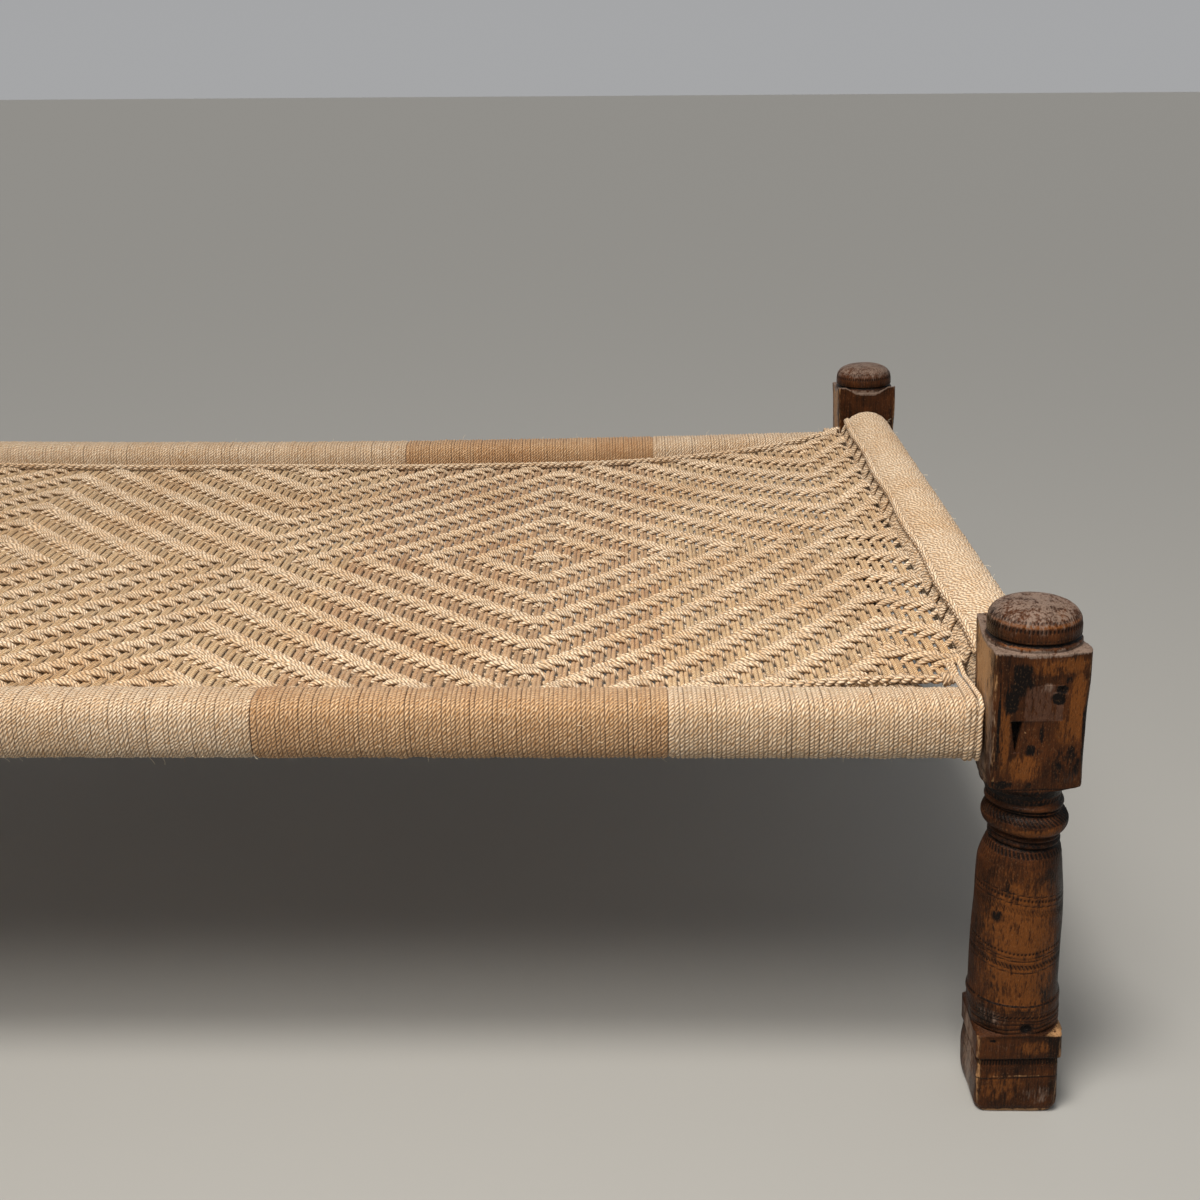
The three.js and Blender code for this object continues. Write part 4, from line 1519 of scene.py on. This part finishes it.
@dataclass
class TurnedLeg:
    """A leg turned from square stock, with its mortises, its bands of notches and its wear.

    Heights and radii of the turning are in millimetres and become metres in its mesh.
    """

    bed: Bed
    sign_x: int
    back: bool
    columns_to_face: int = 54
    dome_rows: int = 26
    splay: float = 10.8
    height: float = 450.0
    block_half: float = 37.6
    block_low: float = 300.0
    block_high: float = 415.0
    plinth_high: float = 76.0
    knob_radius: float = 36.9
    knob_belly: float = 429.0
    knob_power: float = 2.7
    soften: float = 0.7
    ring_fullness: float = 0.85
    neck_tilt: float = 2.2
    neck_shift: float = 2.0
    ledge_rise: float = 3.0
    ledge_slope: float = 7.0
    ledge_radius: float = 39.0
    ledge_run: float = 8.0
    # The joints in the block: their low, high, left and right edges
    end_tenon: tuple[float, ...] = (360.8, 391.0, -13.0, 17.5)
    wedge_slot: tuple[float, ...] = (334.5, 360.8, -23.4, -14.0)
    slot_tapers: tuple[float, float] = (4.0, 4.4)
    pit_wall: float = 0.12
    patch_depth: float = 0.3
    slot_depth: float = 9.0
    side_tenon_half: float = 12.4
    side_tenon_drop: float = 9.0
    joint_marks: tuple = (("end", 0.68), ("soot", 1.4))
    # How uneven the surface is, and how it is cut and worn
    corner_waver: float = 1.2
    corner_waves: tuple[float, float, float] = (0.13, 4.0, 1.7)
    dents: int = 9
    dent_depth: float = 0.14
    dent_waves: tuple[float, ...] = (0.09, 0.09, 0.05, 3.0)
    band_ramp: float = 0.8
    edge_width: float = 0.07
    edge_wear: float = 0.42
    stain_power: float = 2.6
    inward_power: int = 4
    seed: int = 7
    # Stretches of the leg with the step between their rows: close together where there is carving
    stretches: tuple = (
        (1.0, 56, 1.1), (57, 112, 1.0), (114, 130, 3.0), (131, 162, 1.0), (164, 182, 3.0), (183, 212, 1.0),
        (214, 226, 3.0), (227, 307, 0.9), (308, 403, 1.5), (404, 428.6, 0.8),
    )
    # Height and half width of the square stock
    stock: Stops = (
        (0, 31.8), (2.5, 33.2), (7, 34.4), (14, 34.9), (34, 34.9), (44, 34.2), (50, 33.6), (52.6, 33.6),
        (53.6, 35.5), (75, 35.5), (76.2, 37.2), (100, 37.4), (106, 46), (288, 46), (299, 35.8),
        (417, 37.9), (450, 37.9),
    )
    # Height and how far the stock's corners are rounded
    corners: Stops = ((0, 9.0), (8, 7.0), (40, 6.0), (52, 4.6))
    # Height and how square the leg is
    squareness: Stops = ((76, 1), (106, 0), (283, 0), (299, 1), (417, 1), (420, 0))
    # Height and how much of the neck's lean, the block's shift and its ledge there is
    neck: Stops = ((228, 0), (243, 1), (276, 1), (284, 0))
    shift: Stops = ((299, 0), (306, 1.0), (450, 1.2))
    ledge: Stops = ((392, 0), (412, 1), (416.4, 1), (416.8, 0))
    # Height and radius of the turning where nothing else shapes it
    profile: Stops = (
        (-20, 60), (75.2, 60), (76.4, 38.4), (80, 39.0), (90, 39.2), (102, 39.0), (104.5, 38.6), (106, 37.4),
        (112, 37.0), (130, 36.9), (150, 36.8), (180, 36.4), (200, 35.9), (212, 35.2), (225, 34.4),
        (234, 32.8), (240, 31.0), (242.8, 29.9), (243.6, 28.0), (254, 27.8), (275, 29.4), (284, 30.2),
        (290, 31.4), (295, 33.5), (299, 37.0), (301, 43), (303.5, 50), (306, 60), (414.6, 60), (415.6, 48),
        (416.6, 38.4), (417.2, 37), (420.5, 37), (429, 36.9),
    )
    # Rounded rings on the turning: height of the middle, half height and radius
    rings: tuple = (
        (265.0, 9.4, 35.4), (280.8, 2.2, 32.0), (277.0, 1.0, 30.6), (252.3, 1.6, 29.2), (247.6, 1.8, 29.6),
        (419.2, 2.3, 38.0),
    )
    grooves: tuple[Groove, ...] = (
        Groove(422.6, 2.4, 1.1), Groove(446.4, 0.4, 0.5, dirt=0.0), Groove(443.4, 0.3, 0.4, dirt=0.3),
        Groove(301.5, 0.5, 0.6), Groove(278.3, 1.4, 0.7), Groove(275.0, 1.6, 0.9), Groove(256.0, 1.0, 0.8),
        Groove(250.2, 0.8, 0.6), Groove(244.4, 1.2, 0.8), Groove(206.2, 0.4, 0.5, tilt=-5.5),
        Groove(197.8, 0.4, 0.5, tilt=-5.5), Groove(149.4, 0.5, 0.5, dip=4.5),
        Groove(146.8, 0.5, 0.5, dip=4.5), Groove(136.0, 0.3, 0.5, dip=4.5), Groove(96.6, 0.5, 0.5),
        Groove(90.4, 0.6, 0.6, tilt=-0.8),
        Groove(87.0, 0.7, 0.6, tilt=1.2), Groove(82.6, 0.7, 0.7, tilt=2.2), Groove(78.6, 0.8, 0.7, tilt=0.8),
        Groove(52.4, 1.2, 0.9), Groove(34.6, 0.4, 0.7, tilt=0.9),
    )
    bands: tuple[NotchBand, ...] = (
        NotchBand(439.3, 441.6, 0.5, dirt=0.8), NotchBand(432.6, 436.2, 0.8, dirt=1.0),
        NotchBand(424.4, 427.2, 0.4, dirt=0.6), NotchBand(284.2, 289.8, 0.8, dirt=1.1, columns=4),
        NotchBand(267.0, 274.2, 0.9, slant=0.22, dirt=1.2, columns=4),
        NotchBand(255.0, 258.2, 0.6, columns=2),
        NotchBand(237.0, 242.8, 0.7, slant=0.08, dirt=1.2, columns=4),
        NotchBand(229.0, 237.0, 0.25, dirt=0.45), NotchBand(200.6, 203.8, 0.8, dirt=1.0, tilt=-5.5),
        NotchBand(188.0, 194.4, 0.4, slant=0.2, dirt=0.55, tilt=-5.5),
        NotchBand(152.0, 155.0, 0.8, dirt=1.0, dip=4.5),
        NotchBand(138.4, 143.8, 0.6, slant=0.2, dirt=1.0, dip=4.5),
        NotchBand(92.2, 95.4, 0.7, slant=-0.25, dirt=1.0), NotchBand(46.2, 52.6, 0.8, dirt=0.95, columns=2),
        NotchBand(40.0, 46.0, 0.3, dirt=0.4, columns=2), NotchBand(112.0, 128.0, 0.12, slant=0.05, dirt=0.3),
    )
    # Stains on the outer face: their middle across and up, half their width and height, how strong
    # they are and how far they sink
    stains: tuple = (
        ("soot", (
            (-14.5, 398, 8.5, 12, 1.15, 0), (-23, 378, 6, 11, 1.1, 0), (-19, 388, 8, 7, 1.0, 0),
            (-32.5, 362, 1.0, 52, 1.2, 0.6), (-26.5, 385, 0.8, 22, 0.9, 0.4), (-29.5, 335, 0.8, 24, 0.9, 0.3),
            (16, 387, 4.4, 2.8, 1.8, 2.4), (13.5, 379.5, 5.6, 4.4, 1.8, 0.5), (-5, 336, 7, 6, 0.95, 0),
            (1.5, 350, 2.6, 9, 0.9, 0), (-28, 306.5, 9, 3.6, 1.1, 0.3), (-6, 306, 2.4, 3.4, 1.0, 0),
            (22, 326, 16, 22, 0.62, 0), (21, 395, 3, 4, 0.9, 0), (35, 352, 2.6, 46, 0.8, 0),
            (-22, 185, 6, 7, 0.6, 0), (4.5, 83, 4.6, 3.8, 1.5, 3.0), (-22, 71, 3.0, 1.4, 1.4, 1.2),
            (31, 240, 6, 70, 0.6, 0),
        )),
        ("dust", (
            (2, 389, 12, 6, 0.4, 0), (14, 383, 8.5, 8.5, 0.5, 0), (24, 314, 14, 12, 0.36, 0),
            (-37, 350, 3, 50, 0.5, 0), (-20, 92, 20, 9, 0.42, 0), (-16, 66, 14, 8, 0.34, 0),
            (18, 17, 20, 13, 0.4, 0),
        )),
        ("glow", (
            (-10, 321, 13, 13, 1.0, 0), (29, 370, 8, 30, 1.2, 0), (-27, 345, 5, 32, 0.8, 0),
            (12, 406, 26, 8, 0.85, 0), (22, 350, 12, 18, 0.6, 0), (0, 437.8, 40, 1.5, 1.1, 0),
            (14, 444, 8, 5, 0.7, 0), (-18, 420, 16, 3, 0.9, 0), (4, 262, 26, 4, 0.9, 0),
            (-2, 158, 33, 78, 0.8, 0), (2, 214, 26, 14, 0.5, 0), (-16, 26, 24, 16, 0.62, 0),
            (12, 64, 20, 9, 0.6, 0),
        )),
        ("wear", ((36, 75.6, 14, 1.1, 1.6, 0), (0, 36.5, 30, 1.0, 0.55, 0), (0, 1.5, 36, 1.8, 1.1, 0))),
    )
    # Dirt that has settled all round: height of the middle, half height and strength
    settled: tuple = (
        (292.5, 3.4, 1.0), (297.0, 3.0, 0.8), (286.0, 2.0, 0.7), (278.2, 1.0, 1.0), (275.2, 1.3, 1.0),
        (248.5, 5.0, 0.55), (243.8, 1.0, 1.0), (422.6, 1.6, 1.2), (52.6, 1.0, 0.9), (105.0, 1.0, 0.8),
    )
    # Height and strength of the dust on the top and the ledge, which on the dome is partly a painted sheen,
    # of the rubbing and the dust on the side toward the bed, and of the painted shade on the barrel's far
    # side, which comes on as it faces away
    top_dust_and_sheen: Stops = ((412, 0), (415, 0.85), (418, 0.85), (421, 0.2), (434, 0.3), (442, 0.55), (450, 0.62))
    inner_wear: Stops = ((76, 0.55), (330, 0.66), (352, 1.1))
    inner_dust: Stops = ((300, 0.6), (340, 0.6), (350, 0))
    barrel_painted_shade: Stops = ((90, 0), (110, 0.75), (285, 0.75), (295, 0))
    facing_away: Stops = ((0.55, 0), (0.9, 1))

    @property
    def name(self) -> str:
        """The leg's name, which says where it stands."""
        return f"leg_{'back' if self.back else 'front'}_{'right' if self.sign_x > 0 else 'left'}"

    def joints(self) -> list[Joint]:
        """Lists the ends of the tenons, which lie nearly flush, and the open slot of the wedge.

        Returns:
            The joints of this leg.
        """
        face_y, way_y = (1, -self.sign_x) if self.back else (3, self.sign_x)
        face_x, way_x = (0, 1) if self.sign_x > 0 else (2, -1)
        level = self.bed.back_level if self.back else self.bed.front_level
        middle = level * MILLIMETRES - self.side_tenon_drop - self.block_half * self.splay / self.height
        inset = self.bed.side_inset * MILLIMETRES * (-1 if self.back else 1)
        half = self.side_tenon_half
        return [
            Joint(face_y, *self.end_tenon, self.patch_depth, "end").turned(way_y),
            Joint(face_y, *self.wedge_slot, self.slot_depth, "soot", *self.slot_tapers).turned(way_y),
            Joint(
                face_x, middle - half, middle + half, inset - half, inset + half, self.patch_depth, "end"
            ).turned(way_x),
        ]

    def row_heights(self) -> Numbers:
        """Gives the height of every row, with a pair of rows at the edges of each joint.

        Returns:
            The heights, rising.
        """
        heights = [z for low, high, step in self.stretches for z in np.arange(low, high, step)]
        edges = sorted({edge for joint in self.joints() for edge in (joint.low, joint.high)})
        heights = [z for z in heights if all(abs(z - edge) > 4 * self.pit_wall for edge in edges)]
        for edge in edges:
            heights += [edge - self.pit_wall, edge + self.pit_wall]
        turn = np.linspace(0, np.pi / 2, self.dome_rows + 1)[:-1]
        dome = (self.height - self.knob_belly) * np.sin(turn) ** (2 / self.knob_power)
        heights += list(self.knob_belly + dome)
        return np.array([0.0, *sorted(heights)])

    def turned_radius(self, level: Numbers) -> Numbers:
        """Gives the turning's radius, with its rings and its dome.

        Args:
            level: Heights on the turning.

        Returns:
            The radius at each.
        """
        radius = read_stops(level, self.profile)
        for middle, half, outer in self.rings:
            inside = np.clip(1 - ((level - middle) / half) ** 2, 0, 1)
            ring = outer - half * self.ring_fullness * (1 - np.sqrt(inside))
            radius = np.where(inside > 0, np.maximum(radius, ring), radius)
        rise = np.clip((level - self.knob_belly) / (self.height - self.knob_belly), 0, 1)
        dome = self.knob_radius * (1 - rise**self.knob_power) ** (1 / self.knob_power)
        return np.where(level > self.knob_belly, dome, radius)

    def sink(self, z: Numbers, face: Numbers, share: Numbers, marks: dict) -> tuple[Numbers, Numbers]:
        """Draws the columns up to the sharp walls of each joint.

        Args:
            z: The height of each row.
            face: The face of each column.
            share: Each column's place across its face, from minus one to one.
            marks: The named marks, which get the joints' own.

        Returns:
            The place across the face and the depth, by row and column.
        """
        places = share * self.block_half
        flat = np.tile(places, 4)[None, :].repeat(len(z), 0)
        sunk = np.zeros_like(flat)
        wall = self.pit_wall
        for joint in self.joints():
            own = face == joint.face
            first, last = np.searchsorted(places, (joint.left, joint.right)) - 1
            beside = places[[first, first + 1, last, last + 1]]
            for row in np.flatnonzero((z > joint.low) & (z < joint.high)):
                down = (joint.high - z[row]) / (joint.high - joint.low)
                left, right = joint.left + joint.left_taper * down, joint.right - joint.right_taper * down
                walls = (left - wall, left + wall, right - wall, right + wall)
                moved = np.interp(
                    places, (-self.block_half, *beside, self.block_half),
                    (-self.block_half, *walls, self.block_half),
                )
                inside = (moved > left) & (moved < right)
                flat[row, own] = moved
                sunk[row, own] = np.where(inside, joint.depth, 0.0)
                marks[joint.mark][row, own] = np.where(inside, dict(self.joint_marks)[joint.mark], 0.0)
        return flat, sunk

    def stock_radius(self, z: Numbers, bearing: Numbers, face: Numbers, start: float) -> Numbers:
        """Gives the radius of the square stock with its worn corners.

        Args:
            z: The height of each row.
            bearing: The angle from the middle of the face, by row and column.
            face: The face of each column.
            start: Where the waver of the corners starts, as a share.

        Returns:
            The radius by row and column.
        """
        half = read_stops(z, self.stock)[:, None]
        per_height, first, per_face = self.corner_waves
        waver = np.sin(z * per_height + first * start)[:, None] * np.cos(face * per_face)[None, :]
        corner = read_stops(z, self.corners)[:, None] + self.corner_waver * waver
        inner = half - corner
        steep = np.abs(bearing)
        reach = inner * (np.cos(steep) + np.sin(steep))
        rounded = reach + np.sqrt(np.maximum(reach**2 - 2 * inner**2 + corner**2, 0))
        return np.where(np.tan(steep) * half <= inner, half / np.cos(steep), rounded)

    def cut_bands(self, level: Numbers, lean: Numbers, radius: Numbers, marks: dict) -> Numbers:
        """Cuts the grooves and the bands of notches.

        Args:
            level: The height of each row and column, with the neck's tilt taken out.
            lean: For each row and column, minus one toward the bed and one away from it.
            radius: The radius so far.
            marks: The named marks, which get the dirt.

        Returns:
            The radius with the cuts.
        """
        for groove in self.grooves:
            height = level - groove.tilt * lean - groove.dip * lean**2
            line = np.exp(-(((height - groove.height) / groove.half) ** 2))
            radius = radius - groove.depth * line
            deepen(marks, CUT_MARK, groove.dirt * line)
        number = np.arange(level.shape[1])[None, :]
        for band in self.bands:
            height = level - band.tilt * lean - band.dip * lean**2
            rising = np.clip((height - band.low) / self.band_ramp, 0, 1)
            falling = np.clip((band.high - height) / self.band_ramp, 0, 1)
            phase = number / band.columns + band.slant * (height - band.low)
            notches = rising * falling * (0.5 + 0.5 * np.cos(2 * np.pi * phase))
            radius = radius - band.depth * notches
            deepen(marks, CUT_MARK, band.dirt * notches)
        for middle, half_height, strength in self.settled:
            deepen(marks, "soot", strength * np.exp(-(((level - middle) / half_height) ** 2)))
        return radius

    def wear_down(self, z: Numbers, lean: Numbers, bearing: Numbers, marks: dict) -> None:
        """Marks the rubbed edges, the dusty top with a painted sheen on the dome, the rubbed inner side and
        the painted shade on the outer side.

        Args:
            z: The height of each row and column.
            lean: For each row and column, minus one toward the bed and one away from it.
            bearing: The angle from the middle of the face.
            marks: The named marks, which get the wear, the dirt, the painted sheen and the painted shade.
        """
        stock = (z > self.block_low) & (z < self.block_high) | (z < self.plinth_high)
        edge = np.exp(-(((np.abs(bearing) - np.pi / 4) / self.edge_width) ** 2))
        inward = np.clip(-lean, 0, 1) ** self.inward_power * stock
        deepen(marks, "wear", np.where(stock, self.edge_wear * edge, 0))
        deepen(marks, "wear", inward * read_stops(z, self.inner_wear))
        # Dust on the top and the ledge; on the dome it is partly a painted sheen
        deepen(marks, "dust", read_stops(z, self.top_dust_and_sheen))
        deepen(marks, "dust", inward * read_stops(z, self.inner_dust))
        # Painted shade: the barrel's side away from the bed is darkened with the soot colour
        deepen(marks, "soot", read_stops(lean, self.facing_away) * read_stops(z, self.barrel_painted_shade))

    def surface(self) -> tuple[Numbers, dict[str, Numbers]]:
        """Shapes the rows of the leg.

        Returns:
            Points by row and column, in millimetres round the leg's axis, and the named marks.
        """
        rows = self.row_heights()
        share = (2 * (np.arange(self.columns_to_face) + 0.5) / self.columns_to_face) - 1
        face = np.repeat(np.arange(4), self.columns_to_face)
        marks = {key: np.zeros((len(rows), len(face))) for key in (*WOOD_MARKS, CUT_MARK)}
        flat, sunk = self.sink(rows, face, share, marks)
        square = read_stops(rows, self.squareness)[:, None]
        bearing = square * np.arctan2(flat, self.block_half) + (1 - square) * np.tile(share, 4) * np.pi / 4
        normal = face * np.pi / 2
        facing = normal + bearing
        lean = np.cos(facing) * self.sign_x
        z = np.broadcast_to(rows[:, None], facing.shape)
        neck = read_stops(rows, self.neck)[:, None]
        level = z + self.neck_tilt * lean * neck
        rng = np.random.default_rng(self.seed + self.sign_x * 2 + self.back)
        stock = self.stock_radius(rows, bearing, face, rng.random())
        turned = self.turned_radius(level) + self.neck_shift * lean * neck
        radius = -self.soften * np.logaddexp(-stock / self.soften, -turned / self.soften)
        radius = self.cut_bands(level, lean, radius, marks)
        x, y = radius * np.cos(facing), radius * np.sin(facing)
        waves = rng.normal(0, self.dent_waves, (self.dents, 4))
        dent = self.dent_depth * sum(np.sin(x * a + y * b + z * c + d) for a, b, c, d in waves) * (sunk == 0)
        self.wear_down(z, lean, bearing, marks)
        outward = y if self.back else -y
        for kind, places in self.stains:
            for across, height, half_wide, half_tall, strength, depth in places:
                wide = np.abs((x - across * self.sign_x) / half_wide) ** self.stain_power
                tall = np.abs((z - height) / half_tall) ** self.stain_power
                spot = np.exp(-wide - tall) * (outward > 0)
                deepen(marks, kind, strength * spot)
                dent = dent + depth * spot
        x = x - dent * np.cos(facing) - sunk * np.cos(normal)
        y = y - dent * np.sin(facing) - sunk * np.sin(normal)
        # The block's top rises toward the bed's middle, where it was never dressed level
        inward = np.clip(0.5 + (-y if self.back else y) / self.block_half / 2, 0, 1)
        rise = (self.ledge_rise + self.ledge_slope * inward) * read_stops(rows, self.ledge)[:, None]
        rise = rise * np.clip((radius - self.ledge_radius) / self.ledge_run, 0, 1)
        shift = read_stops(rows, self.shift)[:, None] * self.sign_x
        return np.stack([x + shift, y, z + rise], 2), marks

    def build(self, material: bpy.types.Material) -> None:
        """Makes the leg's mesh and places it.

        Args:
            material: The leg's material.
        """
        points, marks = self.surface()
        rows, columns = points.shape[:2]
        ends = np.array([[0, 0, 0], [0, 0, self.height]], float)
        x, y, z = (np.concatenate([points.reshape(-1, 3), ends]) / MILLIMETRES).T
        lean = -self.sign_x * math.atan2(self.splay, self.height)
        over = z - self.bed.end_level
        placed = np.stack([
            self.sign_x * self.bed.half_x + x * math.cos(lean) + over * math.sin(lean),
            (self.bed.half_y if self.back else -self.bed.half_y) + y,
            self.bed.end_level - x * math.sin(lean) + over * math.cos(lean),
        ], 1)
        foot, top = rows * columns, rows * columns + 1
        placed[:columns, 2] = 0.0
        placed[foot, 2] = 0.0
        index = np.arange(rows * columns).reshape(rows, columns)
        beside = np.roll(index, -1, axis=1)
        quads = np.stack([index[:-1], beside[:-1], beside[1:], index[1:]], 2).reshape(-1, 4)
        faces = [tuple(quad) for quad in quads.tolist()]
        faces += [(foot, b, a) for a, b in zip(index[0].tolist(), beside[0].tolist())]
        faces += [(top, a, b) for a, b in zip(index[-1].tolist(), beside[-1].tolist())]
        mesh = bpy.data.meshes.new(self.name + "_turned")
        mesh.from_pydata(placed.tolist(), [], faces)
        mesh.shade_smooth()
        for key, values in marks.items():
            store(mesh, key, np.concatenate([values.ravel(), [values[0].mean(), values[-1].mean()]]))
        mesh.materials.append(material)
        place(object_from(mesh), Slot.LEG_WOOD, self.name)


# Stage


@dataclass
class Studio:
    """The floor, the light and the camera."""

    eye: tuple[float, float, float] = (0.5603, -1.721, 0.861)
    pitch: float = math.radians(18.66)
    yaw: float = math.radians(-1.17)
    roll: float = math.radians(-0.42)
    lens: float = 49.14
    sensor: float = 36.0
    floor_half: float = 30.0
    floor_colour: str = "#969694"
    floor_roughness: float = 0.8
    lamp_colour: str = "#fff8ee"
    key_strength: float = 2.0
    key_softness: float = math.radians(14)
    key_turn: tuple[float, float, float] = (math.radians(14), math.radians(-14), 0.0)
    key_place: tuple[float, float, float] = (0.0, 0.0, 3.0)
    lamp_power: float = 43.0
    lamp_size: float = 1.1
    lamp_place: tuple[float, float, float] = (0.35, -1.35, 2.0)
    lamp_aim: tuple[float, float, float] = (0.7, -0.3, 0.35)
    surround_colour: str = "#f4f5f7"
    horizon_glow: float = 0.42
    overhead_glow: float = 0.3
    glow_height: float = 0.3

    def build(self) -> None:
        """Sets up the floor, the light and the camera."""
        self.build_floor()
        self.build_surround()
        self.build_lamps()
        self.build_camera()

    def build_floor(self) -> None:
        """Lays a plain pale floor."""
        reach = self.floor_half
        corners = [(-reach, -reach, 0), (reach, -reach, 0), (reach, reach, 0), (-reach, reach, 0)]
        mesh = bpy.data.meshes.new("floor")
        mesh.from_pydata(corners, [], [(0, 1, 2, 3)])
        paint, _, shader = new_material("Plain pale floor")
        feed(shader, {"Base Color": linear(self.floor_colour), "Roughness": self.floor_roughness})
        mesh.materials.append(paint)
        object_from(mesh)

    def build_surround(self) -> None:
        """Sets a pale surround that dims overhead."""
        world = bpy.data.worlds.new("Pale surround")
        bpy.context.scene.world = world
        world.use_nodes = True
        node = partial(add_node, world.node_tree)
        parts = node("ShaderNodeSeparateXYZ", {"Vector": node("ShaderNodeTexCoord").outputs["Generated"]})
        glow = node(
            "ShaderNodeMapRange",
            {0: parts.outputs["Z"], 1: 0.0, 2: self.glow_height, 3: self.horizon_glow, 4: self.overhead_glow},
            interpolation_type="SMOOTHSTEP",
        )
        feed(world.node_tree.nodes["Background"], {"Strength": glow, "Color": linear(self.surround_colour)})

    def build_lamps(self) -> None:
        """Hangs one high soft light, and a lamp near the front, so the bed's far side falls off."""
        high = bpy.data.lights.new("High soft light", "SUN")
        high.energy = self.key_strength
        high.angle = self.key_softness
        near = bpy.data.lights.new("Front lamp", "AREA")
        near.energy = self.lamp_power
        near.size = self.lamp_size
        toward_bed = Vector(self.lamp_aim) - Vector(self.lamp_place)
        front_turn = toward_bed.to_track_quat("-Z", "Y").to_euler()
        for lamp, where, turn in ((high, self.key_place, self.key_turn), (near, self.lamp_place, front_turn)):
            lamp.color = linear(self.lamp_colour)[:3]
            holder = object_from(lamp)
            holder.location = where
            holder.rotation_euler = turn

    def build_camera(self) -> None:
        """Sets the camera where the picture was taken from."""
        forward = Vector((
            math.sin(self.yaw) * math.cos(self.pitch),
            math.cos(self.yaw) * math.cos(self.pitch),
            -math.sin(self.pitch),
        ))
        level = Vector((math.cos(self.yaw), -math.sin(self.yaw), 0.0))
        upright = level.cross(forward)
        right = math.cos(self.roll) * level + math.sin(self.roll) * upright
        up = -math.sin(self.roll) * level + math.cos(self.roll) * upright
        turned = Matrix((right, up, -forward)).transposed().to_4x4()
        turned.translation = Vector(self.eye)
        camera = bpy.data.cameras.new("Camera")
        camera.lens = self.lens
        camera.sensor_width = self.sensor
        camera.sensor_fit = "HORIZONTAL"
        holder = object_from(camera)
        holder.matrix_world = turned
        bpy.context.scene.camera = holder
        bpy.context.scene.view_settings.view_transform = "Standard"


def main() -> None:
    """Builds the bed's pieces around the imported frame, in order."""
    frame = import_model()
    finishes = Finishes()
    Studio().build()
    bed = Bed()
    cords = cord_tree()
    mat = WovenMat(MatShape(bed), weave_tree(cords))
    mat.build_lengthwise(finishes)
    mat.build_crosswise(finishes)
    Binding(bed, cords).build(finishes)
    Selvedges(mat.shape, cords).build(finishes)
    CornerLashing(mat.shape, cords).build(finishes.pale)
    OpenEnd(mat.shape, cords).build(finishes.laid)
    LooseFibres(fibre_tree()).build(finishes.fibre)
    for sign_x in (1, -1):
        for back in (False, True):
            TurnedLeg(bed, sign_x, back).build(finishes.leg)
    woods = {
        "leg": finishes.leg, "side_rail": finishes.rail, "end_rail": finishes.rail, "wedge": finishes.wedge,
    }
    for name, node in frame["nodes"].items():
        material = next((wood for start, wood in woods.items() if name.startswith(start)), finishes.pale)
        node.data.materials.clear()
        node.data.materials.append(material)


if __name__ == "__main__":
    logging.basicConfig(level=logging.INFO, format="%(name)s: %(message)s")
    main()
